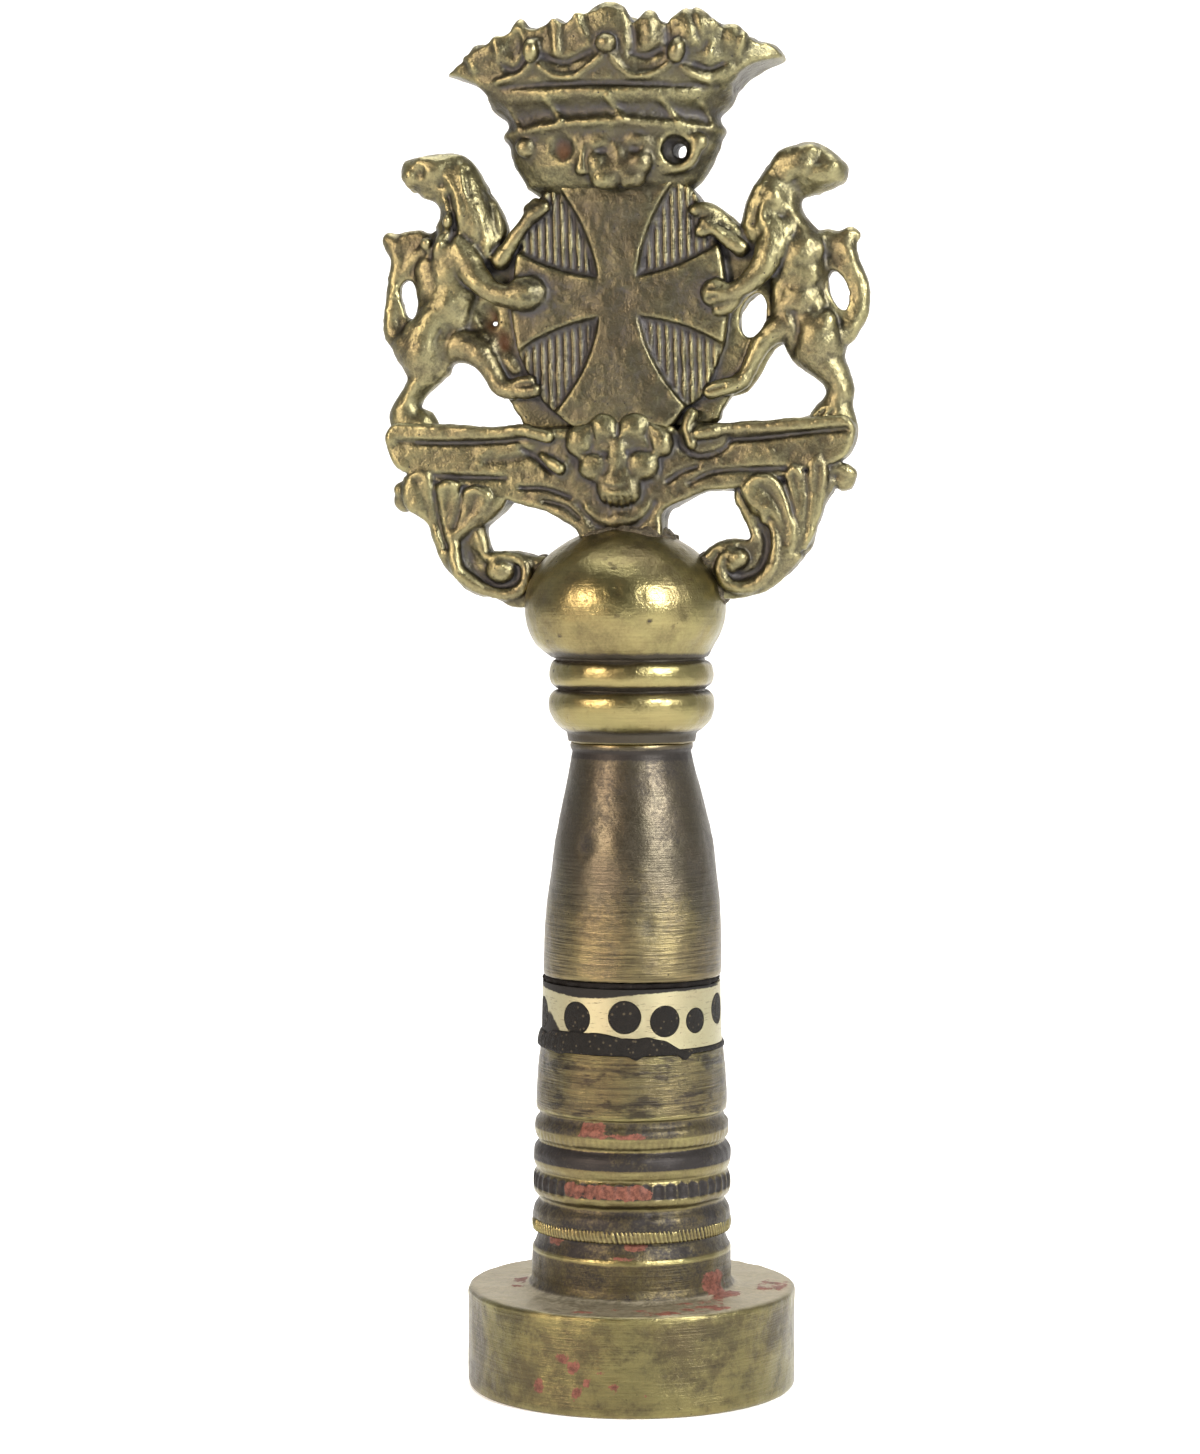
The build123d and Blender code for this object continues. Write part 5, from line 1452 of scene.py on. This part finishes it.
def makeKnop(rng):
    r, h = knop["ballRadii"]
    angles = np.radians(np.arange(*knop["ballAngles"]))
    ball = np.stack([r * np.cos(angles), knop["ballHeight"] + h * np.sin(angles)], 1)
    path = joined(
        straight(knop["bore"], 0.6),
        curved(knop["moulding"], 0.1),
        curved(knop["fillet"], 0.1),
        ball[:-1],
        np.array([(0, knop["ballHeight"] + h)]),
    )
    places, bearing = spun(path, knop["segments"])
    z = places[:, :, 2]
    rough = roughened(places, knop["rough"], rng)
    outside = (path[:, :1] > baluster["skin"][0]) | (path[:, 1:] > knop["ballStart"])
    rough = (rough - dentDepth(places, bearing, path[:, :1], knop["dents"])) * outside
    foot, length = knop["slide"]
    slide = np.clip((z - foot) / length, 0, 1)
    places[:, :, 0] += knop["follow"] * crest["aside"] * slide * slide * (3 - 2 * slide)
    grain, threshold, most = knop["spots"]
    patchGrain, offset = knop["spotPatches"]
    spots = np.clip(latticeNoise(places, grain, rng) - threshold, 0, most)
    spots = spots * np.clip(latticeNoise(places, patchGrain, rng) + offset, 0, 1)
    # patina and painted shade in the profile's small hollows, darker at the neck and in spots, lighter on
    # roughened high spots; painted shade in its broad concave turns
    patinaAndShade = pathHollow(path, 0.55, 0.12) - 4 * rough - 0.1 + 0.9 * window(z, *knop["neck"], 0.2)
    patinaAndShade = patinaAndShade + 1.3 * spots + 0.12 * latticeNoise(places, 2.2, rng)
    marks = {"patinaAndShade": patinaAndShade, "paintedShade": pathHollow(path, 1.6, 0.5), "turned": 0.5 + 0 * z}
    return spunPiece("ball_knop", path, places, rough, marks, "handle", ("knop",))


print("turning the knop")
ballKnop = makeKnop(np.random.default_rng(37))


# pitch, washer and solder

pitch = {
    "segments": 360,
    "mass": [
        (-78, 38, 0.95), (-25, 42, 1.3), (15, 24, 1.05), (200, 60, 0.5), (130, 30, 0.3),
    ],    # bearing, spread, rise
    "drips": [(13, 3.5, 0.3), (45, 4, 0.4), (-40, 5, 0.15), (170, 5, 0.3)],    # bearing, spread, fall
    "inner": 4.6, "foot": 22.99, "seam": 23.1, "head": 23.3,
}

washer = {
    "inner": 3.4, "low": 27.31, "high": 27.69, "edge": 5.78, "ragged": 0.1,
}

solder = {
    "clay": (8.4, 3.6, 51.4, 58.6),    # half width, half depth, bottom, top
    "voxel": 0.14,
    "grit": ((0.1, 0.55), (0.05, 0.25)),    # height, grain
    "masses": [
        ((1.4, 56.95, 0.9), (2, 0.75, 1.3), -14), ((2.6, 56.7, 0), (1, 0.7, 1.6), -20),
        ((6.35, 53.1, 0), (0.75, 0.85, 1.25), 0), ((5.6, 55.2, 0), (0.6, 0.7, 1.1), 30),
    ],    # place, radii, tilt, for both sides
}


def heaped(bearing, heaps, power):
    total = np.zeros(bearing.shape)
    for at, spread, height in heaps:
        total = np.maximum(total, height * np.exp(-((apart(bearing, at) / spread) ** power)))
    return total


def makePitch(rng):
    n = pitch["segments"]
    bearing = np.arange(n) * 360 / n
    rise, drip = heaped(bearing, pitch["mass"], 4), heaped(bearing, pitch["drips"], 2)
    rise = np.clip(rise + 0.05 * ringNoise(n, 40, rng), 0.16, 1.6)
    fat = 0.06 + 0.13 * np.clip(rise / 0.8, 0, 1) + 0.02 * ringNoise(n, 80, rng)
    even = np.zeros(n)
    inner, foot, seam, head = pitch["inner"], pitch["foot"], pitch["seam"], pitch["head"]
    section = [
        (inner + even, foot + even),
        (6.05 + even, foot + even),
        (6.15 + 0.079 * drip, 22.97 - drip),
        (6.2 + 0.1 * drip + fat * 0.3, 22.97 - drip * 0.9),
        (6.15 + fat, 23.08 - drip * 0.3),
        (6.12 + fat, seam + rise * 0.3),
        (6.1 + fat * 0.8, seam + rise * 0.6),
        (6.07 + fat * 0.45, seam + rise * 0.9),
        (6.05 + fat * 0.1, seam + rise),
        (6.0 - even, seam + rise * 0.9),
        (6.0 + even, head + even),
        (inner + even, head + even),
    ]
    return ringPiece("pitch_mass", section, "die", ("pitch_bed",))


def makeWasher(rng):
    n = pitch["segments"]
    edge = washer["edge"] + washer["ragged"] * ringNoise(n, 50, rng)
    even = np.zeros(n)
    inner, low, high = washer["inner"] + even, washer["low"] + even, washer["high"] + even
    section = [(inner, low), (edge, low), (edge + 0.06, 27.4 + even), (edge + 0.08, 27.55 + even),
               (edge, high), (inner, high)]
    return ringPiece("washer_ring", section, "washer", ("seam_washer",))


def makeSolder(rng):
    voxel = solder["voxel"]
    clay = newClay(*solder["clay"], voxel)
    for side in (1, -1):
        for (x, z, f), radii, tilt in solder["masses"]:
            blob(clay, (side * x, z, f), radii, side * tilt, 0.3)
    sizes = clay["field"].shape
    clay["field"] += sum(height * castNoise(sizes, voxel, grain, rng) for height, grain in solder["grit"])
    return crestPiece("solder_grit", clay, rng, ("solder_seam",))


print("laying pitch, washer and solder")
rng = np.random.default_rng(41)
pitchMass = makePitch(rng)
washerRing = makeWasher(rng)
solderGrit = makeSolder(rng)


# materials

def nodesIn(tree):
    def add(kind, sockets=None, **settings):
        node = tree.nodes.new("ShaderNode" + kind)
        for name, value in settings.items():
            setattr(node, name, value)
        for name, value in (sockets or {}).items():
            if isinstance(value, bpy.types.NodeSocket):
                tree.links.new(value, node.inputs[name])
            else:
                node.inputs[name].default_value = value
        return node
    return add


def newGroup(name, inputs, outputs):
    tree = bpy.data.node_groups.new(name, "ShaderNodeTree")
    for kind, sockets in (("INPUT", inputs), ("OUTPUT", outputs)):
        for socket, sort in sockets.items():
            tree.interface.new_socket(socket, in_out=kind, socket_type="NodeSocket" + sort)
    take, give = tree.nodes.new("NodeGroupInput").outputs, tree.nodes.new("NodeGroupOutput").inputs
    return tree, nodesIn(tree), take, give


def ramp(add, value, low, high, start=0.0, end=1.0):
    sockets = {"Value": value, "From Min": low, "From Max": high, "To Min": start, "To Max": end}
    return add("MapRange", sockets, interpolation_type="SMOOTHSTEP").outputs[0]


def fade(add, mask, start, end):
    return ramp(add, mask, 0, 1, start, end)


def combined(add, operation, a, b):
    return add("Math", {0: a, 1: b}, operation=operation).outputs[0]


def times(add, a, b):
    return combined(add, "MULTIPLY", a, b)


def sums(add, first, *terms):
    # adds terms of (value, weight) to the first value
    for value, weight in terms:
        first = add("Math", {0: value, 1: weight, 2: first}, operation="MULTIPLY_ADD").outputs[0]
    return first


def mixed(add, share, a, b, how="MIX"):
    return add("Mix", {0: share, 6: a, 7: b}, data_type="RGBA", blend_type=how).outputs[2]


def tinted(add, colour, mask, weight, other):
    return mixed(add, sums(add, 0.0, (mask, weight)), colour, other)


def noise(add, place, scale, detail, rough):
    sockets = {"Vector": place, "Scale": scale, "Detail": detail, "Roughness": rough}
    return add("TexNoise", sockets).outputs[0]


def cellular(add, place, scale):
    return add("TexVoronoi", {"Vector": place, "Scale": scale, "Randomness": 1.0}).outputs[0]


def makePatina():
    # old brass: golden where it is rubbed, dark with patina in its hollows and with painted shade where it is
    # sheltered, pitted and mottled between
    tree, add, take, give = newGroup(
        "patina",
        {"Place": "Vector", "Hollow": "Float", "Shelter": "Float", "Wear": "Float", "Grime": "Float",
         "Rough": "Float", "Golden": "Color", "Middle": "Color", "Dark": "Color"},
        {"Colour": "Color", "Roughness": "Float", "Metallic": "Float", "Height": "Float"},
    )
    wide = noise(add, take["Place"], 0.24, 6.0, 0.62)
    close = noise(add, take["Place"], 1.3, 5.0, 0.65)
    speck = noise(add, take["Place"], 5.5, 3.0, 0.6)
    pit = ramp(add, cellular(add, take["Place"], 1.9), 0.16, 0.06)
    pit = times(add, pit, ramp(add, sums(add, close, (wide, 0.6)), 0.8, 0.98))
    wear = sums(add, take["Wear"], (take["Hollow"], -1.3), (wide, 0.7), (close, 0.7), (speck, 0.7))
    wear = ramp(add, wear, 0.9, 1.7)
    # dirt takes in grime and noise, patina and painted shade from the hollow mark, and painted shade from the
    # sheltered mark
    dirt = sums(add, take["Grime"], (take["Hollow"], 1.35), (take["Shelter"], 1.0))
    dirt = ramp(add, sums(add, dirt, (close, 0.6), (speck, 0.8)), 0.72, 1.45)
    colour = mixed(add, wear, take["Middle"], take["Golden"])
    tint = mixed(add, ramp(add, wide, 0.35, 0.65), (0.4, 0.33, 0.24, 1), (0.36, 0.37, 0.24, 1))
    colour = mixed(add, 0.35, colour, tint, "SOFT_LIGHT")
    colour = mixed(add, dirt, colour, take["Dark"])
    colour = mixed(add, pit, colour, take["Dark"])
    rough = sums(add, take["Rough"], (dirt, 0.1), (close, 0.14), (pit, 0.2), (wear, -0.04))
    tree.links.new(colour, give["Colour"])
    tree.links.new(rough, give["Roughness"])
    tree.links.new(fade(add, dirt, 1.0, 0.45), give["Metallic"])
    tree.links.new(sums(add, speck, (pit, -1.6), (close, 0.8)), give["Height"])
    return tree


def makeLathe():
    # fine turning lines round the axis, uneven along each ring, with blotches and patches
    tree, add, take, give = newGroup(
        "latheLines", {"Place": "Vector"}, {"Lines": "Float", "Blotches": "Float", "Patches": "Float"})
    thin = add("Mapping", {"Vector": take["Place"], "Scale": (0.2, 0.2, 6.5)}).outputs[0]
    broad = add("Mapping", {"Vector": take["Place"], "Scale": (0.42, 0.42, 1.3)}).outputs[0]
    tree.links.new(ramp(add, noise(add, thin, 1.0, 4.0, 0.7), 0.3, 0.7), give["Lines"])
    tree.links.new(ramp(add, noise(add, broad, 1.0, 4.0, 0.6), 0.5, 0.62), give["Blotches"])
    tree.links.new(ramp(add, noise(add, take["Place"], 0.28, 9.0, 0.74), 0.42, 0.6), give["Patches"])
    return tree


def makeWaxCoat():
    # old sealing wax left in the grooves
    tree, add, take, give = newGroup(
        "waxCoat", {"Place": "Vector", "Wax": "Float"}, {"Mask": "Float", "Colour": "Color"})
    crumbs = noise(add, take["Place"], 2.6, 5.0, 0.72)
    mask = ramp(add, sums(add, take["Wax"], (crumbs, 1.5)), 1.06, 1.2)
    mask = times(add, mask, ramp(add, take["Wax"], 0.02, 0.12))
    colour = mixed(add, ramp(add, crumbs, 0.32, 0.66), (0.05, 0.018, 0.012, 1), (0.15, 0.056, 0.038, 1))
    tree.links.new(mask, give["Mask"])
    tree.links.new(colour, give["Colour"])
    return tree


def makeGrit():
    tree, add, take, give = newGroup("grit", {"Place": "Vector"}, {"Grain": "Float", "Specks": "Float"})
    grain = noise(add, take["Place"], 3.2, 5.0, 0.72)
    specks = sums(add, cellular(add, take["Place"], 2.4), (grain, -0.3))
    tree.links.new(ramp(add, grain, 0.3, 0.7), give["Grain"])
    tree.links.new(ramp(add, specks, 0.1, 0.0), give["Specks"])
    return tree


def makeSmear():
    # pitch over the collar's upper edge and between two dots, and file marks
    tree, add, take, give = newGroup("pitchSmear", {"Place": "Vector"}, {"Mask": "Float", "Marks": "Float"})
    axis = add("SeparateXYZ", {0: take["Place"]}).outputs
    rag = noise(add, take["Place"], 1.6, 4.0, 0.6)

    def bump(middle, wide):
        away = combined(add, "POWER", sums(add, -middle / wide, (axis["X"], 1 / wide)), 2.0)
        return add("Math", {0: sums(add, 0.0, (away, -1.0))}, operation="EXPONENT").outputs[0]

    front = ramp(add, axis["Y"], 0, -1)
    edge = ramp(add, sums(add, axis["Z"], (bump(-2.2, 3.4), 0.46), (rag, 0.2)), 27.2, 27.26)
    low = sums(add, sums(add, 25.0, (axis["Z"], -1.0)), (bump(-4.9, 0.8), 1.5), (rag, 0.8))
    low = times(add, ramp(add, low, 1.3, 1.55), ramp(add, axis["X"], 2, 0))
    mask = combined(add, "MAXIMUM", edge, low)
    tree.links.new(times(add, mask, front), give["Mask"])
    slant = {"Vector": take["Place"], "Scale": (0.9, 0.9, 7.0), "Rotation": (0.25, 0.2, 0)}
    scratch = noise(add, add("Mapping", slant).outputs[0], 1.0, 5.0, 0.75)
    tree.links.new(ramp(add, scratch, 0.56, 0.66), give["Marks"])
    return tree


patina = makePatina()
lathe = makeLathe()
waxCoat = makeWaxCoat()
grit = makeGrit()
pitchSmear = makeSmear()

coats = {
    "brassSpecular": 0.2,
    "dullSpecular": 0.15,
    "brassBump": 0.06,      # mm
    "dullBump": 0.12,
    "dustShare": (0.45, 0.9),
    "dustRough": 0.6,
    "waxRough": 0.55,
    "smearRough": 0.65,
    "rustMetallic": 0.2,
}


def newMaterial(name):
    material = bpy.data.materials.new(name)
    material.use_nodes = True
    tree = material.node_tree
    tree.nodes.clear()
    add = nodesIn(tree)
    sockets = {"Vector": add("TexCoord").outputs["Object"], "Scale": (1 / mm, 1 / mm, 1 / mm)}
    place = add("Mapping", sockets).outputs[0]
    shader = add("BsdfPrincipled")
    add("OutputMaterial", {"Surface": shader.outputs[0]})
    return material, tree, add, place, shader


def bumped(tree, add, shader, height, strength, distance):
    bump = add("Bump", {"Height": height, "Strength": strength, "Distance": distance * mm})
    tree.links.new(bump.outputs[0], shader.inputs["Normal"])


def group(add, tree, sockets):
    return add("Group", sockets, node_tree=tree).outputs


def mark(add, name):
    return add("Attribute", attribute_name=name).outputs["Fac"]


def brass(name, look):
    material, tree, add, place, shader = newMaterial(name)
    sockets = {key.capitalize(): look[key] for key in ("wear", "rough", "grime", "golden", "middle", "dark")}
    sockets.update({"Place": place, "Hollow": mark(add, "patinaAndShade"), "Shelter": mark(add, "paintedShade")})
    coat = group(add, patina, sockets)
    colour, rough, metallic, height = coat["Colour"], coat["Roughness"], coat["Metallic"], coat["Height"]
    if look.get("lines"):
        cut = group(add, lathe, {"Place": place})
        lines = times(add, cut["Lines"], mark(add, "turned"))
        colour = tinted(add, colour, lines, look["lines"], look["dark"])
        blotch = times(add, cut["Blotches"], combined(add, "POWER", mark(add, "turned"), 2.0))
        colour = tinted(add, colour, blotch, look["blotches"], look["dark"])
        height = sums(add, height, (lines, look["lineRelief"]))
    if look.get("patch"):
        mottled = mark(add, "mottled")
        share = times(add, cut["Patches"], mottled)
        between = sums(add, 0.0, (mottled, look["mottle"]), (share, -look["mottle"]))
        colour = mixed(add, between, colour, look["dark"])
        colour = tinted(add, colour, share, look["patchShare"], look["patch"])
    if look.get("dust"):
        grain = group(add, grit, {"Place": place})["Grain"]
        dust = times(add, mark(add, "dust"), fade(add, grain, *coats["dustShare"]))
        colour = mixed(add, dust, colour, look["dust"])
        rough = fade(add, dust, rough, coats["dustRough"])
    if look.get("wax"):
        wax = group(add, waxCoat, {"Place": place, "Wax": mark(add, "wax")})
        colour = mixed(add, wax["Mask"], colour, wax["Colour"])
        rough = fade(add, wax["Mask"], rough, coats["waxRough"])
        metallic = fade(add, wax["Mask"], metallic, 0.0)
    if look.get("rust"):
        rust = sums(add, mark(add, "rust"), (mark(add, "patinaAndShade"), 0.9), (mark(add, "paintedShade"), 0.5))
        rust = times(add, ramp(add, rust, 0.3, 0.9), mark(add, "rust"))
        colour = mixed(add, rust, colour, look["rust"])
        metallic = fade(add, rust, metallic, coats["rustMetallic"])
    if look.get("smear"):
        smear = group(add, pitchSmear, {"Place": place})
        colour = tinted(add, colour, smear["Marks"], look["markShare"], look["marks"])
        colour = mixed(add, smear["Mask"], colour, look["smear"])
        rough = fade(add, smear["Mask"], rough, coats["smearRough"])
        metallic = fade(add, smear["Mask"], metallic, 0.0)
    tree.links.new(colour, shader.inputs["Base Color"])
    tree.links.new(rough, shader.inputs["Roughness"])
    tree.links.new(metallic, shader.inputs["Metallic"])
    shader.inputs["Specular IOR Level"].default_value = coats["brassSpecular"]
    bumped(tree, add, shader, height, look["relief"], coats["brassBump"])
    return material


def dull(name, look):
    # pitch, leather and solder: grainy and dark
    material, tree, add, place, shader = newMaterial(name)
    dirt = group(add, grit, {"Place": place})
    colour = mixed(add, dirt["Grain"], look["low"], look["high"])
    colour = tinted(add, colour, dirt["Specks"], look["specks"], look["speck"])
    rough = fade(add, dirt["Grain"], look["rough"], look["rough"] + 0.2)
    tree.links.new(colour, shader.inputs["Base Color"])
    tree.links.new(rough, shader.inputs["Roughness"])
    shader.inputs["Metallic"].default_value = look["metallic"]
    shader.inputs["Specular IOR Level"].default_value = coats["dullSpecular"]
    bumped(tree, add, shader, dirt["Grain"], look["relief"], coats["dullBump"])
    return material


stemLook = {
    "golden": (0.228, 0.203, 0.099, 1), "middle": (0.135, 0.114, 0.062, 1), "dark": (0.02, 0.0175, 0.017, 1),
    "wear": 0.05, "rough": 0.3, "grime": 0.0, "lines": 0.7, "blotches": 0.75, "lineRelief": 1.3,
    "patch": (0.19, 0.17, 0.068, 1), "wax": True, "dust": (0.33, 0.295, 0.215, 1), "relief": 0.4,
    "mottle": 0.34, "patchShare": 0.4,
}
taperLook = {
    "golden": (0.19, 0.157, 0.085, 1), "middle": (0.091, 0.081, 0.062, 1), "dark": (0.022, 0.019, 0.017, 1),
    "wear": 0.05, "rough": 0.3, "grime": -0.1, "lines": 0.7, "blotches": 0.1, "lineRelief": 1.5,
    "relief": 0.3,
}
knopLook = {
    "golden": (0.235, 0.206, 0.1, 1), "middle": (0.132, 0.112, 0.06, 1), "dark": (0.034, 0.029, 0.021, 1),
    "wear": 0.1, "rough": 0.27, "grime": -0.05, "lines": 0.3, "blotches": 0.3, "lineRelief": 0.4,
    "relief": 0.4,
}
castLook = {
    "golden": (0.23, 0.21, 0.121, 1), "middle": (0.072, 0.067, 0.048, 1), "dark": (0.044, 0.0415, 0.042, 1),
    "wear": 0.0, "rough": 0.33, "grime": 0.05, "rust": (0.055, 0.026, 0.011, 1), "relief": 0.7,
}
collarLook = {
    "golden": (0.38, 0.355, 0.245, 1), "middle": (0.35, 0.32, 0.215, 1), "dark": (0.19, 0.16, 0.105, 1),
    "wear": 0.25, "rough": 0.33, "grime": -0.25, "smear": (0.008, 0.007, 0.006, 1),
    "marks": (0.1, 0.08, 0.05, 1), "relief": 0.3, "markShare": 0.75,
}
studLook = {
    "golden": (0.5, 0.42, 0.2, 1), "middle": (0.4, 0.33, 0.16, 1), "dark": (0.1, 0.08, 0.04, 1), "wear": 0.2,
    "rough": 0.3, "grime": -0.2, "relief": 0.15,
}
pitchLook = {
    "low": (0.004, 0.0035, 0.003, 1), "high": (0.011, 0.0095, 0.008, 1), "speck": (0.1, 0.08, 0.05, 1),
    "specks": 0.45, "rough": 0.55, "metallic": 0.0, "relief": 0.6,
}
leatherLook = {
    "low": (0.003, 0.0025, 0.002, 1), "high": (0.01, 0.008, 0.007, 1), "speck": (0.05, 0.04, 0.03, 1),
    "specks": 0.2, "rough": 0.75, "metallic": 0.0, "relief": 0.5,
}
solderLook = {
    "low": (0.04, 0.034, 0.026, 1), "high": (0.13, 0.11, 0.075, 1), "speck": (0.22, 0.19, 0.13, 1),
    "specks": 0.5, "rough": 0.42, "metallic": 0.6, "relief": 0.8,
}


def paint(material, *pieces):
    for piece in pieces:
        if piece.material_slots:
            for holder in piece.material_slots:
                holder.material = material
        else:
            piece.data.materials.append(material)


nodes = frame["nodes"]
paint(brass("stemBrass", stemLook), dieTurned, knurlBand)
paint(brass("taperBrass", taperLook), handleTaper)
paint(brass("knopBrass", knopLook), ballKnop)
paint(brass("castBrass", castLook), shieldLions, ribbonScrolls, crownCast)
paint(brass("collarBrass", collarLook), nodes["collar"])
paint(brass("studBrass", studLook), nodes["stud"])
paint(dull("blackPitch", pitchLook), pitchMass, nodes["collar_dots"])
paint(dull("washerLeather", leatherLook), washerRing)
paint(dull("grittySolder", solderLook), solderGrit)
print("materials: painted")
